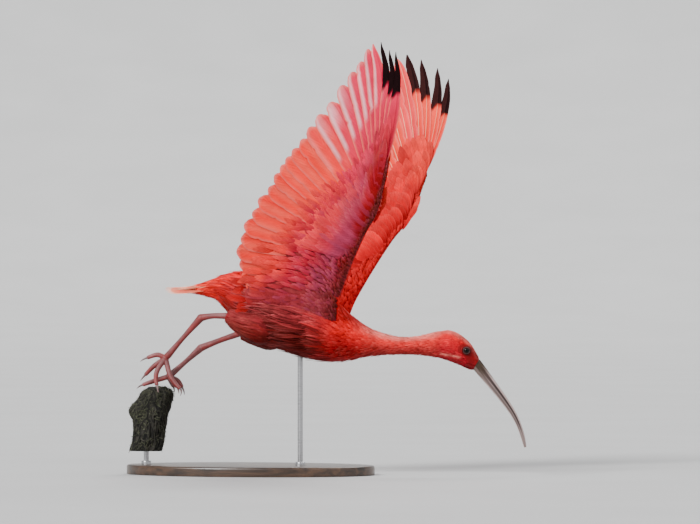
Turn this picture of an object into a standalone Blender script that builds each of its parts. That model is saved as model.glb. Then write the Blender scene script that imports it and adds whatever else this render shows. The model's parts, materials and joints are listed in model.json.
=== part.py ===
"""Scarlet ibis alighting on a snag with both wings raised, as a life-size display model.

The bird faces +X, its right wing is on the -Y side, and the origin is the centre of the
stand's underside. The dimensions are in millimetres and become metres as meshes are made.
"""

import math
import random

import bmesh
import bpy
from mathutils import Matrix, Vector

MM = 0.001
GAP = 0.3
SEED = 11
UPRIGHT = 0.2                   # a tube with less level reach than this counts as upright
SIDES = {"right": -1.0, "left": 1.0}

# Stations of the body from the tail coverts to the bill: top x and z, bottom x and z, half width
BODY = [
    (-97, 280.0, -97, 275.0, 7.0),
    (-77, 286.0, -77, 270.5, 17.0),
    (-53, 295.5, -53, 262.0, 22.0),
    (-34, 302.3, -34, 243.0, 25.0),
    (-11, 305.5, -11, 212.0, 33.0),
    (18, 305.0, 18, 199.0, 42.0),
    (48, 300.0, 48, 189.0, 50.0),
    (77, 291.0, 77, 179.1, 53.5),
    (104, 277.5, 104, 173.5, 53.0),
    (130, 261.0, 130, 170.5, 46.5),
    (154, 240.5, 154, 172.5, 35.0),
    (179, 223.1, 179, 177.5, 22.5),
    (206, 211.8, 206, 180.8, 15.0),
    (232, 207.0, 232, 181.6, 12.6),
    (256, 207.8, 256, 181.2, 12.4),
    (280, 213.2, 280, 178.5, 13.8),
    (302.7, 217.5, 300, 173.4, 16.2),
    (317, 213.4, 312.5, 169.2, 16.8),
    (329, 205.2, 323, 165.2, 15.8),
    (338.5, 195.4, 331.5, 161.8, 12.8),
    (345.5, 184.0, 337.8, 159.6, 9.4),
    (350.8, 173.6, 342.0, 158.4, 7.2),
]
TAIL_END, TAIL_PARTING, NECK_PARTING, HEAD_PARTING = 0, 3.0, 11.0, 15.35
BODY_SIDES = 22
NECK_SIDES = 18
BODY_SQUARENESS = 2.15
KEEL = 0.07                     # how much narrower the body is below its middle

# Bill: centre line, and the depth and half width along it
BILL_LINE = [(347.0, 166.1), (366.7, 141.5), (387.0, 115.5), (401.7, 94.3),
             (410.6, 76.7), (416.6, 59.1), (420.3, 43.5)]
BILL_DEPTH = [18.0, 13.8, 11.0, 8.8, 7.2, 6.0, 3.6]
BILL_HALF_WIDTH = [7.0, 5.9, 5.0, 4.2, 3.6, 3.1, 1.9]
BILL_STEPS = 15
BILL_SIDES = 9
BILL_FULLNESS = 0.8             # below 1 gives flatter sides and a fuller section
BILL_BASE_SHARE = 0.16          # over this much of it the bill turns off the head's face
MOUTH_HEIGHT = 0.38             # share of the bill's depth below the mouth line
MOUTH_GAP = 0.35
NOSTRIL_PLACE, NOSTRIL_RISE = 0.085, 0.30    # along the bill, and above its centre line
NOSTRIL_LENGTH, NOSTRIL_WIDTH, NOSTRIL_END_WIDTH = 7.0, 1.0, 0.35
NOSTRIL_OUT = 0.93              # share of the bill's half width at which it lies

EYE = (333.4, 13.2, 187.2)
EYE_RADIUS = 5.6
EYE_SINK = 1.6
EYE_FACING = (0.22, 1.0, 0.08)
GAPE_STATIONS, GAPE_ANGLES, GAPE_RADIUS = (21.1, 19.0), (-0.22, -0.62), 0.8
GAPE_SHARES = (0.0, 0.35, 0.7, 1.0)
LID_RADIUS = 5.5
LID_THICK, LID_STANDOFF = 1.15, 1.2
LID_STEPS, LID_SIDES = 16, 5

# Wings: a height field over the side view, x along the body and h above the shoulder
SHOULDER_Y, SHOULDER_Z = 38.0, 238.5
LEAD_ROOT_X, LEAD_SWEEP, LEAD_SCALE, LEAD_POWER = 143.0, 128.0, 165.0, 1.5
SPREAD, SPREAD_EASE = 0.56, 0.00030
CHORD, CAMBER, CAMBER_MIDDLE = 180.0, 14.0, 0.35
BANK = {"right": math.radians(3.4), "left": math.radians(1.4)}
CORE_CHORD = (0.0, 0.05, 0.18, 0.38, 0.62, 0.85, 1.0)
CORE_THICKNESS = (0.0, 0.52, 0.88, 1.0, 0.72, 0.36, 0.16)
# Stations of the arm and hand: leading x and h, trailing x and h, thickness
ARM = [
    (141, -12, 14, 2, 18),
    (149, 20, 6, 34, 19),
    (165, 56, 52, 80, 16.5),
    (183, 91, 96, 124, 15),
    (199, 119, 138, 156, 13),
    (214, 140, 172, 178, 11.5),
    (225, 165, 196, 198, 9),
    (233, 192, 214, 220, 6.5),
    (239, 214, 228, 236, 3.2),
]
# Flight feathers from the outermost primary to the innermost tertial, one entry in three
FLIGHT_COUNT = 25
FLIGHT_ROOTS = [(229, 209), (224, 189), (219, 167), (214, 146), (196, 126), (174, 112),
                (152, 97), (134, 80), (116, 46)]
FLIGHT_TIPS = {
    "right": [(266, 373), (232, 390), (195, 348), (141, 286), (99, 238), (70, 200),
              (29, 147), (2, 90), (8, 42)],
    "left": [(265, 368), (197, 408), (152, 362), (116, 292), (86, 243), (64, 200),
             (29, 147), (2, 90), (8, 42)],
}
FLIGHT_HALF_WIDTHS = [8.5, 11.0, 13.0, 14.5, 14.0, 14.0, 14.5, 15.0, 14.0]
PRIMARY_COUNT = 10
PRIMARY_OUTLINE = [(0.0, 0.55), (0.22, 0.85), (0.5, 1.0), (0.78, 0.86), (0.93, 0.52), (1.0, 0.10)]
SECONDARY_OUTLINE = [(0.0, 0.6), (0.4, 0.95), (0.75, 1.0), (0.94, 0.72), (1.0, 0.28)]
# Rows of coverts: lift off the flight feathers, count, where they end along them, half width
COVERT_ROWS = {"upper": (3.3, 16, 0.43, 14.0), "under": (-3.3, 14, 0.45, 15.5)}
COVERT_OUTLINE = [(0.0, 0.6), (0.5, 1.0), (0.88, 0.86), (1.0, 0.3)]
COVERT_RISE = (0.3, 0.95, 1.0, 1.0)
COVERT_START = -0.02
COVERT_NARROWEST, COVERT_NARROW_SHARE = 0.72, 0.4    # the first of a row, and how far they widen
ALULA = [((212, 134), (232.5, 181), 4.8), ((215, 141), (229, 170), 3.6)]
ALULA_HALF_WIDTH, ALULA_ROLL = 5.0, 0.08
VANE_THICK = 0.6
VANE_CLEARANCE, LEAST_SPACING = 1.15, 6.0
FEATHER_BOW = 0.035
FEATHERS_PER_ENTRY = 3
LENGTH_CHANGES = (0.985, 1.015)

# Tail: a fan of feathers past the coverts, in x and the distance from the middle
TAIL_HINGE_X, TAIL_HINGE_Z, TAIL_TIP_Z = -54.0, 279.3, 276.8
TAIL_LENGTH, TAIL_FEATHERS_A_SIDE = 76.0, 5
TAIL_HALF_WIDTH = 11.0
TAIL_FIRST_ANGLE, TAIL_ANGLE_STEP = math.radians(6.0), math.radians(4.2)
TAIL_HINGE_OUT, TAIL_HINGE_FAN = 1.0, 10.0
TAIL_SHORTENING = 0.5
TAIL_MIDDLE_GAP = 0.5
TAIL_ARCH = 0.004
TAIL_OUTLINE = [(0.0, 0.6), (0.35, 0.9), (0.7, 1.0), (0.93, 0.78), (1.0, 0.3)]
TAIL_CENTRE_LIFTS = (2.9, 4.1)
TAIL_COVERT_LIFTS = (5.6, -4.6)
TAIL_COVERT_LENGTHS = (52.0, 46.0)
TAIL_COVERT_ANGLES, TAIL_COVERT_HALF_WIDTH = (8, 22), 11.5
TAIL_COVERT_SHORTENING = 1.5

# Legs: right side with y < 0, joints from the body out
LEGS = {
    "right": {
        "thigh": [(44, -30, 212), (8, -37, 224), (-27, -31, 238.5)],
        "shank": [(-27, -31, 238.5), (-50, -31.5, 238.5), (-69, -32, 235.5)],
        "tarsus": [(-69, -32, 235.5), (-98, -23, 206), (-125.5, -14, 177)],
        "toes": {
            "hallux": [(-125.5, -14, 177), (-140, -15, 179.5), (-156, -16, 175)],
            "inner": [(-125.5, -14, 177), (-146, -11, 163), (-161, -8, 149)],
            "middle": [(-125.5, -14, 177), (-121, -18, 151), (-115, -20, 141), (-104, -21, 129)],
            "outer": [(-125.5, -14, 177), (-138, -22, 158), (-140.5, -25, 144), (-138, -27.5, 134)],
        },
        "claw_turn": {"hallux": (-8, -1, -5), "inner": (-6, 1, -7), "middle": (-1, -1, -9),
                      "outer": (2, -2.5, -8)},
    },
    "left": {
        "thigh": [(44, 30, 206), (8, 36, 211), (-22, 32, 213)],
        "shank": [(-22, 32, 213), (-58, 44, 200.5), (-90, 56, 189)],
        "tarsus": [(-90, 56, 189), (-108, 32, 168.5), (-126, 8, 148.5)],
        "toes": {
            "hallux": [(-126, 8, 148.5), (-150, 10, 140), (-170, 12, 133.5)],
            "inner": [(-126, 8, 148.5), (-119, -1, 139), (-112, -7, 131)],
            "middle": [(-126, 8, 148.5), (-115, 10, 140), (-108.5, 11, 130)],
            "outer": [(-126, 8, 148.5), (-128, 20, 138.5), (-128, 34, 131)],
        },
        "claw_turn": {"hallux": (-7, 1, -5), "inner": (2, -1.5, -8), "middle": (2, 0, -9),
                      "outer": (0, 6, -8)},
    },
}
THIGH_RADII = (25.0, 18.5, 8.0)
SHANK_RADII = (5.2, 4.2, 5.6)
TARSUS_RADII = (5.8, 3.7, 5.2)
TOE_ROOT_RADIUS, TOE_RADIUS, TOE_TIP_RADIUS = 3.8, 3.4, 2.3
FOOT_HUB_RADIUS, FOOT_HUB_DOWN = 5.0, 4.0
FOOT_SLAB_RADIUS, FOOT_SLAB_THICK = 14.0, 20.0
CLAW_RADIUS, CLAW_MIDDLE_RADIUS, CLAW_TIP_RADIUS = 1.7, 1.35, 0.35
CLAW_AHEAD, CLAW_TIP_AHEAD, CLAW_FIRST_TURN = 4.0, 2.5, 0.12
LEG_SIDES, TOE_SIDES = 10, 6

# Perch: a weathered length of snag
PERCH_FOOT, PERCH_TOP = (-161.0, -2.0, 34.0), (-143.0, -2.0, 131.0)
PERCH_RADIUS = 23.5
PERCH_SIDES, PERCH_STEPS = 20, 14
PERCH_SHOULDER = 0.86           # above this share of its height the top rounds in
PERCH_FLUTES = [(0.06, 3, 3), (0.04, 5, -5), (0.05, 1, 8)]   # share of radius, waves round and up
BURL_HEIGHT, BURL_REACH, BURL_SPREAD = 97.0, 12.0, 15.0

# Stand
BASE_HALF_LENGTH, BASE_HALF_WIDTH, BASE_THICK, BASE_ROUND = 190.0, 110.0, 14.0, 3.0
BASE_SEGMENTS = 48
ROD_BODY_X, ROD_BODY_STATION, ROD_RADIUS = 77.0, 7.0, 4.0
ROD_SINK = 8.0                  # how far the rod runs into the belly before it is cut to fit


def clear_scene():
    """Remove every object, mesh and collection that the file starts with."""
    for obj in list(bpy.data.objects):
        bpy.data.objects.remove(obj, do_unlink=True)
    for mesh in list(bpy.data.meshes):
        bpy.data.meshes.remove(mesh)
    for collection in list(bpy.data.collections):
        bpy.data.collections.remove(collection)


def make_material(name, color, roughness, metallic=0.0):
    """Make a Principled material."""
    material = bpy.data.materials.new(name)
    material.use_nodes = True
    shader = material.node_tree.nodes["Principled BSDF"]
    shader.inputs["Base Color"].default_value = (*color, 1.0)
    shader.inputs["Roughness"].default_value = roughness
    shader.inputs["Metallic"].default_value = metallic
    return material


def mesh_object(name, bm, collection, smooth=None):
    """Turn a bmesh in millimetres into a triangulated object in metres."""
    bmesh.ops.scale(bm, vec=(MM, MM, MM), verts=bm.verts)
    bmesh.ops.recalc_face_normals(bm, faces=bm.faces)
    bmesh.ops.triangulate(bm, faces=bm.faces)
    mesh = bpy.data.meshes.new(name)
    bm.to_mesh(mesh)
    bm.free()
    if smooth is not None:
        mesh.shade_smooth()
        mesh.set_sharp_from_angle(angle=smooth)
    obj = bpy.data.objects.new(name, mesh)
    collection.objects.link(obj)
    return obj


def loft(rings):
    """Skin a run of rings of equal count, closed at both ends."""
    bm = bmesh.new()
    rows = [[bm.verts.new(point) for point in ring] for ring in rings]
    for row, following in zip(rows, rows[1:]):
        for index in range(len(row)):
            after = (index + 1) % len(row)
            bm.faces.new((row[index], row[after], following[after], following[index]))
    bm.faces.new(rows[0][::-1])
    bm.faces.new(rows[-1])
    return bm


def spline(values, t):
    """Catmull-Rom through a list of numbers or tuples, t counted in list places."""
    last = len(values) - 1
    t = min(max(t, 0.0), float(last))
    i = min(int(t), last - 1)
    u = t - i
    p0, p1, p2, p3 = (Vector(values[min(max(k, 0), last)]) for k in (i - 1, i, i + 1, i + 2))
    return 0.5 * (2 * p1 + (p2 - p0) * u + (2 * p0 - 5 * p1 + 4 * p2 - p3) * u ** 2
                  + (3 * p1 - p0 - 3 * p2 + p3) * u ** 3)


def spline_number(values, t):
    """Catmull-Rom through plain numbers."""
    return spline([(value, 0.0) for value in values], t)[0]


def modified(obj, mode, solver="EXACT", cutter=None, collection=None):
    """Apply one Boolean modifier to an object and keep its largest closed surface."""
    modifier = obj.modifiers.new(mode.lower(), "BOOLEAN")
    modifier.operation = mode
    modifier.solver = solver
    if collection is not None:
        modifier.operand_type = "COLLECTION"
        modifier.collection = collection
    else:
        modifier.object = cutter
    depsgraph = bpy.context.evaluated_depsgraph_get()
    mesh = bpy.data.meshes.new_from_object(obj.evaluated_get(depsgraph))
    obj.modifiers.remove(modifier)
    old = obj.data
    mesh.name = old.name
    obj.data = mesh
    bpy.data.meshes.remove(old)
    keep_largest(obj)


def keep_largest(obj):
    """Keep only the largest closed surface of a mesh."""
    bm = bmesh.new()
    bm.from_mesh(obj.data)
    bmesh.ops.triangulate(bm, faces=bm.faces)
    left = set(bm.faces)
    islands = []
    while left:
        seed = left.pop()
        island, frontier = [seed], [seed]
        while frontier:
            for edge in frontier.pop().edges:
                for face in edge.link_faces:
                    if face in left:
                        left.remove(face)
                        island.append(face)
                        frontier.append(face)
        islands.append(island)
    islands.sort(key=lambda faces: sum(face.calc_area() for face in faces))
    loose = [face for island in islands[:-1] for face in island]
    bmesh.ops.delete(bm, geom=loose, context="FACES")
    bm.to_mesh(obj.data)
    bm.free()


def join(obj, pieces):
    """Fuse closed pieces into an object with one union."""
    group = bpy.data.collections.new("pieces")
    bpy.context.scene.collection.children.link(group)
    for piece in pieces:
        for owner in list(piece.users_collection):
            owner.objects.unlink(piece)
        group.objects.link(piece)
    modified(obj, "UNION", collection=group)
    for piece in pieces:
        bpy.data.objects.remove(piece, do_unlink=True)
    bpy.data.collections.remove(group)


def cut(obj, cutter):
    """Cut a closed piece out of an object and remove the cutter."""
    modified(obj, "DIFFERENCE", cutter=cutter)
    bpy.data.objects.remove(cutter, do_unlink=True)


def body_point(t, angle, grow=0.0, shift=0.0):
    """A point of the body at station t, at an angle up from its left side."""
    top_x, top_z, low_x, low_z, half_width = spline(BODY, t)
    top, low = Vector((top_x, 0, top_z)), Vector((low_x, 0, low_z))
    up = (top - low).normalized()
    along = Vector((0, 1, 0)).cross(up)
    power = 2 / BODY_SQUARENESS
    across = math.copysign(abs(math.cos(angle)) ** power, math.cos(angle))
    rise = math.copysign(abs(math.sin(angle)) ** power, math.sin(angle))
    width = (half_width + grow) * (1 + KEEL * rise)
    half_height = (top - low).length / 2 + grow
    return (top + low) / 2 + along * shift + up * half_height * rise + Vector((0, across * width, 0))


def body_ring(t, sides, grow=0.0, shift=0.0):
    """One cross-section of the body at station t, grown outward or moved along the body."""
    return [body_point(t, math.tau * k / sides, grow, shift) for k in range(sides)]


def body_piece(name, start, end, steps, sides, collection, grow=0.0):
    """A length of the body between two stations, set back by the gap at its start."""
    rings = []
    for step in range(steps + 1):
        shift = GAP if step == 0 and start > 0 and not grow else 0.0
        rings.append(body_ring(start + (end - start) * step / steps, sides, grow, shift))
    return mesh_object(name, loft(rings), collection, smooth=math.radians(50))


def first_side(tangent):
    """A direction square to a limb's first tangent, level where the limb isn't upright."""
    side = tangent.cross(Vector((0, 0, 1)))
    if side.length < UPRIGHT:
        side = tangent.cross(Vector((0, 1, 0)))
    return side


def tube(name, points, radii, sides, collection, start=None, end=None, steps=6):
    """A round limb through a few points, with its end faces square to start and end."""
    last = len(points) - 1
    rings = []
    for step in range(steps + 1):
        t = last * step / steps
        centre = spline(points, t)
        tangent = (spline(points, t + 0.02) - spline(points, t - 0.02)).normalized()
        if step == 0 and start is not None:
            tangent = start
        if step == steps and end is not None:
            tangent = end
        if step == 0:
            side = first_side(tangent)
        side = (side - tangent * side.dot(tangent)).normalized()
        up = side.cross(tangent)
        radius = spline_number(radii, t * (len(radii) - 1) / last)
        rings.append([centre + radius * (math.cos(math.tau * k / sides) * side
                                         + math.sin(math.tau * k / sides) * up)
                      for k in range(sides)])
    return mesh_object(name, loft(rings), collection, smooth=math.radians(60))


def leading_edge(h):
    """The x of the wing's leading edge at a height above the shoulder."""
    rise = (max(h, 0.0) / LEAD_SCALE) ** LEAD_POWER
    return LEAD_ROOT_X + LEAD_SWEEP * (1.0 - math.exp(-rise))


def wing_reach(x, h):
    """How far the wing's surface lies from the body's middle plane."""
    chord = (leading_edge(h) - x) / CHORD
    bend = ((chord - CAMBER_MIDDLE) / (1.0 - CAMBER_MIDDLE)) ** 2
    return SHOULDER_Y + SPREAD * h - SPREAD_EASE * h * h + CAMBER * bend


def wing_point(x, h, lift, side):
    """A point of the wing, lifted to its upper side, after the bank of both wings."""
    step = 0.5
    slope_x = (wing_reach(x + step, h) - wing_reach(x - step, h)) / (2 * step)
    slope_h = (wing_reach(x, h + step) - wing_reach(x, h - step)) / (2 * step)
    normal = Vector((slope_x, 1.0, slope_h)).normalized()
    point = Vector((x, -wing_reach(x, h), h)) + lift * normal
    point.y *= -side
    bank = BANK["right" if side < 0 else "left"]
    point = Matrix.Rotation(-bank, 3, "X") @ point
    return point + Vector((0, 0, SHOULDER_Z))


def wing_core(name, side, stations, collection):
    """The solid of a wing through its stations, thick behind the leading edge."""
    rings = []
    for lead_x, lead_h, trail_x, trail_h, thick in stations:
        lead, trail = Vector((lead_x, lead_h)), Vector((trail_x, trail_h))
        upper, lower = [], []
        for share, height in zip(CORE_CHORD, CORE_THICKNESS):
            spot = lead.lerp(trail, share)
            upper.append(wing_point(spot.x, spot.y, thick * height / 2, side))
            lower.append(wing_point(spot.x, spot.y, -thick * height / 2, side))
        rings.append(upper + lower[:0:-1])
    return mesh_object(name, loft(rings), collection, smooth=math.radians(60))


def vane(name, axis, outline, half_width, rolls, lifts, place, collection, inner=None):
    """A feather's blade: a thin strip about an axis drawn on a surface.

    place(x, y, lift) gives the surface's points. The blade is rolled about its axis, so that
    blades side by side overlap like tiles and join only at their roots.
    """
    bm = bmesh.new()
    rows = []
    last = len(axis) - 1
    for index, (_, share) in enumerate(outline):
        tangent = (axis[min(index + 1, last)] - axis[max(index - 1, 0)]).normalized()
        across = Vector((tangent.y, -tangent.x))
        reach = half_width * share
        back = reach if inner is None else min(reach, inner[index])
        roll, lift = rolls[index], lifts[index]
        row = []
        for spot, level in ((axis[index] + across * reach, lift + roll * reach),
                            (axis[index] - across * back, lift - roll * back)):
            for face in (VANE_THICK / 2, -VANE_THICK / 2):
                row.append(bm.verts.new(place(spot.x, spot.y, level + face)))
        rows.append(row)
    for row, after in zip(rows, rows[1:]):
        for a, b in ((0, 2), (1, 3), (0, 1), (2, 3)):
            bm.faces.new((row[a], row[b], after[b]))
            bm.faces.new((row[a], after[b], after[a]))
    for row in (rows[0], rows[-1]):
        bm.faces.new((row[0], row[1], row[3]))
        bm.faces.new((row[0], row[3], row[2]))
    return mesh_object(name, bm, collection)


def feather_axis(root, tip, outline, bow):
    """Points from root to tip, bowed to the leading side between them."""
    root, tip = Vector(root), Vector(tip)
    run = tip - root
    across = Vector((run.y, -run.x))
    return [root + run * s + across * bow * 4 * s * (1 - s) for s, _ in outline]


def flight_feathers(tips, draw):
    """Axes, outlines and half widths of a wing's flight feathers."""
    feathers = []
    for number in range(FLIGHT_COUNT):
        place = number / FEATHERS_PER_ENTRY
        outline = PRIMARY_OUTLINE if number < PRIMARY_COUNT else SECONDARY_OUTLINE
        root, tip = spline(FLIGHT_ROOTS, place), spline(tips, place)
        tip = root + (tip - root) * draw.uniform(*LENGTH_CHANGES)
        bow = FEATHER_BOW if number < PRIMARY_COUNT else FEATHER_BOW / 2
        feathers.append((feather_axis(root, tip, outline, bow), outline,
                         spline_number(FLIGHT_HALF_WIDTHS, place)))
    return feathers


def rolls_between(axes):
    """How steeply each blade is rolled at each point to clear its nearest neighbour."""
    rolls = []
    for number, axis in enumerate(axes):
        row = []
        for index in range(len(axis)):
            tangent = (axis[min(index + 1, len(axis) - 1)] - axis[max(index - 1, 0)]).normalized()
            across = Vector((tangent.y, -tangent.x))
            near = [abs((axes[k][index] - axis[index]).dot(across))
                    for k in (number - 1, number + 1)
                    if 0 <= k < len(axes) and len(axes[k]) == len(axis)]
            row.append(VANE_CLEARANCE / max(min(near), LEAST_SPACING))
        rolls.append(row)
    return rolls


def covert_row(name, lift, count, end, half_width, feathers, place, collection):
    """A row of coverts over the roots of the flight feathers."""
    axes = []
    for number in range(count):
        spot = number * (len(feathers) - 1) / (count - 1)
        low = min(int(spot), len(feathers) - 2)
        mix = spot - low
        root = feathers[low][0][0].lerp(feathers[low + 1][0][0], mix)
        tip = feathers[low][0][-1].lerp(feathers[low + 1][0][-1], mix)
        axes.append(feather_axis(root.lerp(tip, COVERT_START), root.lerp(tip, end),
                                 COVERT_OUTLINE, FEATHER_BOW / 2))
    lifts = [lift * share for share in COVERT_RISE]
    vanes = []
    for number, (axis, rolls) in enumerate(zip(axes, rolls_between(axes))):
        share = min(1.0, number / (count * COVERT_NARROW_SHARE))
        width = half_width * (COVERT_NARROWEST + (1.0 - COVERT_NARROWEST) * share)
        vanes.append(vane(name, axis, COVERT_OUTLINE, width, rolls, lifts, place, collection))
    return vanes


def build_wing(name, side, collection, cutters):
    """One wing: arm and hand, with flight feathers and two rows of coverts, fitted to the torso."""
    draw = random.Random(SEED + int(side))
    wing = wing_core("wing_" + name, side, ARM, collection)

    def place(x, h, lift):
        return wing_point(x, h, lift, side)

    feathers = flight_feathers(FLIGHT_TIPS[name], draw)
    vanes = []
    for (axis, outline, half_width), rolls in zip(feathers, rolls_between([f[0] for f in feathers])):
        vanes.append(vane("flight", axis, outline, half_width, rolls, [0.0] * len(axis), place,
                          collection))
    for row, (lift, count, end, half_width) in COVERT_ROWS.items():
        vanes += covert_row(row, lift, count, end, half_width, feathers, place, collection)
    for root, tip, lift in ALULA:
        axis = feather_axis(root, tip, COVERT_OUTLINE, FEATHER_BOW)
        lifts = [lift * share for share in COVERT_RISE]
        vanes.append(vane("alula", axis, COVERT_OUTLINE, ALULA_HALF_WIDTH,
                          [ALULA_ROLL] * len(axis), lifts, place, collection))
    join(wing, vanes)
    cut(wing, body_cutter(cutters))
    return wing


def tail_axis(angle, length, outline):
    """A tail feather's axis in x and the distance from the middle."""
    hinge = Vector((TAIL_HINGE_X, TAIL_HINGE_OUT + TAIL_HINGE_FAN * math.sin(angle)))
    run = Vector((-math.cos(angle), math.sin(angle))) * length
    return [hinge + run * s for s, _ in outline]


def tail_vanes(side, collection):
    """The feathers and coverts of one side of the tail."""
    def place(x, across, lift):
        share = (TAIL_HINGE_X - x) / TAIL_LENGTH
        z = TAIL_HINGE_Z + (TAIL_TIP_Z - TAIL_HINGE_Z) * share - TAIL_ARCH * across * across
        return Vector((x, side * across, z + lift))

    def fan(name, axes, outline, half_width, lifts):
        for axis, rolls in zip(axes, rolls_between(axes)):
            inner = [max(point.y - TAIL_MIDDLE_GAP, TAIL_MIDDLE_GAP) for point in axis]
            vanes.append(vane(name, axis, outline, half_width, rolls, lifts, place, collection,
                              inner))

    vanes = []
    level = [0.0] * len(TAIL_OUTLINE)
    fan("tail_feather", [tail_axis(TAIL_FIRST_ANGLE + TAIL_ANGLE_STEP * k,
                                   TAIL_LENGTH - TAIL_SHORTENING * k * k, TAIL_OUTLINE)
                         for k in range(TAIL_FEATHERS_A_SIDE)],
        TAIL_OUTLINE, TAIL_HALF_WIDTH, level)
    for lift, length in zip(TAIL_COVERT_LIFTS, TAIL_COVERT_LENGTHS):
        fan("tail_covert", [tail_axis(math.radians(degrees), length - TAIL_COVERT_SHORTENING * k,
                                      COVERT_OUTLINE)
                            for k, degrees in enumerate(TAIL_COVERT_ANGLES)],
            COVERT_OUTLINE, TAIL_COVERT_HALF_WIDTH, [lift * share for share in COVERT_RISE])
    axis = [Vector((TAIL_HINGE_X - TAIL_LENGTH * s, 0.0)) for s, _ in TAIL_OUTLINE]
    centre_lift = TAIL_CENTRE_LIFTS[int(side > 0)]
    vanes.append(vane("tail_centre", axis, TAIL_OUTLINE, TAIL_HALF_WIDTH, level,
                      [centre_lift] * len(axis), place, collection))
    return vanes


def build_tail(collection):
    """The tail: coverts as a core, and the fan of tail feathers past them."""
    tail = body_piece("tail", TAIL_END, TAIL_PARTING, 5, BODY_SIDES, collection)
    join(tail, [piece for side in SIDES.values() for piece in tail_vanes(side, collection)])
    return tail


def body_cutter(collection):
    """The torso grown by the gap, to cut what meets it."""
    return body_piece("torso_cutter", TAIL_PARTING, NECK_PARTING, 16, BODY_SIDES, collection,
                      grow=GAP)


def build_torso(collection):
    """The torso between the tail and the neck."""
    return body_piece("torso", TAIL_PARTING, NECK_PARTING, 16, BODY_SIDES, collection)


def build_neck(collection):
    """The neck between the torso and the head."""
    return body_piece("neck", NECK_PARTING, HEAD_PARTING, 10, NECK_SIDES, collection)


def ball(name, centre, radius, collection, segments=14, rows=8, turn=None):
    """A round ball."""
    bm = bmesh.new()
    bmesh.ops.create_uvsphere(bm, u_segments=segments, v_segments=rows, radius=radius)
    if turn is not None:
        bmesh.ops.rotate(bm, matrix=turn, verts=bm.verts)
    bmesh.ops.translate(bm, vec=centre, verts=bm.verts)
    return mesh_object(name, bm, collection, smooth=math.radians(60))


def build_lid(name, side, collection):
    """The rim of lids round one eye, a closed ring of round section."""
    centre = Vector((EYE[0], side * (EYE[1] + LID_STANDOFF), EYE[2]))
    outward = Vector((EYE_FACING[0], side * EYE_FACING[1], EYE_FACING[2])).normalized()
    turn = outward.to_track_quat("Z", "Y").to_matrix()
    bm = bmesh.new()
    rows = []
    for step in range(LID_STEPS):
        angle = math.tau * step / LID_STEPS
        radial = turn @ Vector((math.cos(angle), math.sin(angle), 0))
        hub = centre + radial * LID_RADIUS
        rows.append([bm.verts.new(hub + LID_THICK * (math.cos(math.tau * k / LID_SIDES) * radial
                                                     + math.sin(math.tau * k / LID_SIDES) * outward))
                     for k in range(LID_SIDES)])
    for index, row in enumerate(rows):
        following = rows[(index + 1) % len(rows)]
        for k in range(LID_SIDES):
            after = (k + 1) % LID_SIDES
            bm.faces.new((row[k], row[after], following[after], following[k]))
    return mesh_object("lid_" + name, bm, collection)


def build_head(collection, cutters):
    """The head with a lid round each eye, a socket for it, and the line of the gape."""
    head = body_piece("head", HEAD_PARTING, len(BODY) - 1, 14, NECK_SIDES, collection)
    join(head, [build_lid(name, side, collection) for name, side in SIDES.items()])
    for name, side in SIDES.items():
        cut(head, ball("socket_" + name, (EYE[0], side * (EYE[1] - EYE_SINK), EYE[2]),
                       EYE_RADIUS + GAP, cutters))
        cut(head, build_gape(name, side, cutters))
    return head


def build_gape(name, side, collection):
    """A cutter for the mouth's line, from the bill back into the cheek."""
    points = []
    for share in GAPE_SHARES:
        station = GAPE_STATIONS[0] + (GAPE_STATIONS[1] - GAPE_STATIONS[0]) * share
        angle = GAPE_ANGLES[0] + (GAPE_ANGLES[1] - GAPE_ANGLES[0]) * share
        points.append(tuple(body_point(station, angle if side > 0 else math.pi - angle,
                                       GAPE_RADIUS * 0.3)))
    return tube("gape_" + name, points, (GAPE_RADIUS, GAPE_RADIUS * 0.6), 6, collection, steps=6)


def build_eyes(collection):
    """The two eyes in their sockets."""
    turn = Matrix.Rotation(math.radians(90), 3, "X")
    return [ball("eye_" + name, (EYE[0], side * (EYE[1] - EYE_SINK), EYE[2]), EYE_RADIUS,
                 collection, turn=turn) for name, side in SIDES.items()]


def bill_frame(t):
    """Centre, up direction, half depth and half width of the bill at t from 0 to 1."""
    place = t * (len(BILL_LINE) - 1)
    x, z = spline(BILL_LINE, place)
    ahead, behind = spline(BILL_LINE, place + 0.02), spline(BILL_LINE, place - 0.02)
    along = Vector((ahead[0] - behind[0], 0, ahead[1] - behind[1])).normalized()
    up = along.cross(Vector((0, 1, 0)))
    top_x, top_z, low_x, low_z = BODY[-1][:4]
    base_up = Vector((top_x - low_x, 0, top_z - low_z)).normalized()
    up = base_up.lerp(up, min(1.0, t / BILL_BASE_SHARE)).normalized()
    half_depth = spline_number(BILL_DEPTH, place) / 2
    half_width = spline_number(BILL_HALF_WIDTH, place)
    return Vector((x, 0, z)), up, half_depth, half_width


def build_bill(name, upper, collection, cutters):
    """One half of the bill, above or below the mouth line."""
    rings = []
    for step in range(BILL_STEPS + 1):
        centre, up, half_depth, half_width = bill_frame(step / BILL_STEPS)
        if step == 0:
            centre += GAP * Vector((up.z, 0, -up.x))
        line = (MOUTH_HEIGHT * 2 - 1) * half_depth
        reach = half_depth - line if upper else half_depth + line
        sign = 1.0 if upper else -1.0
        rim = centre + up * (line + sign * MOUTH_GAP / 2)
        ring = []
        for k in range(BILL_SIDES):
            angle = math.pi * k / (BILL_SIDES - 1)
            ring.append(rim + Vector((0, half_width * math.cos(angle), 0))
                        + up * sign * (reach - MOUTH_GAP / 2) * math.sin(angle) ** BILL_FULLNESS)
        rings.append(ring)
    bill = mesh_object(name, loft(rings), collection, smooth=math.radians(50))
    if upper:
        for side in SIDES.values():
            cut(bill, build_nostril(side, cutters))
    return bill


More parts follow.
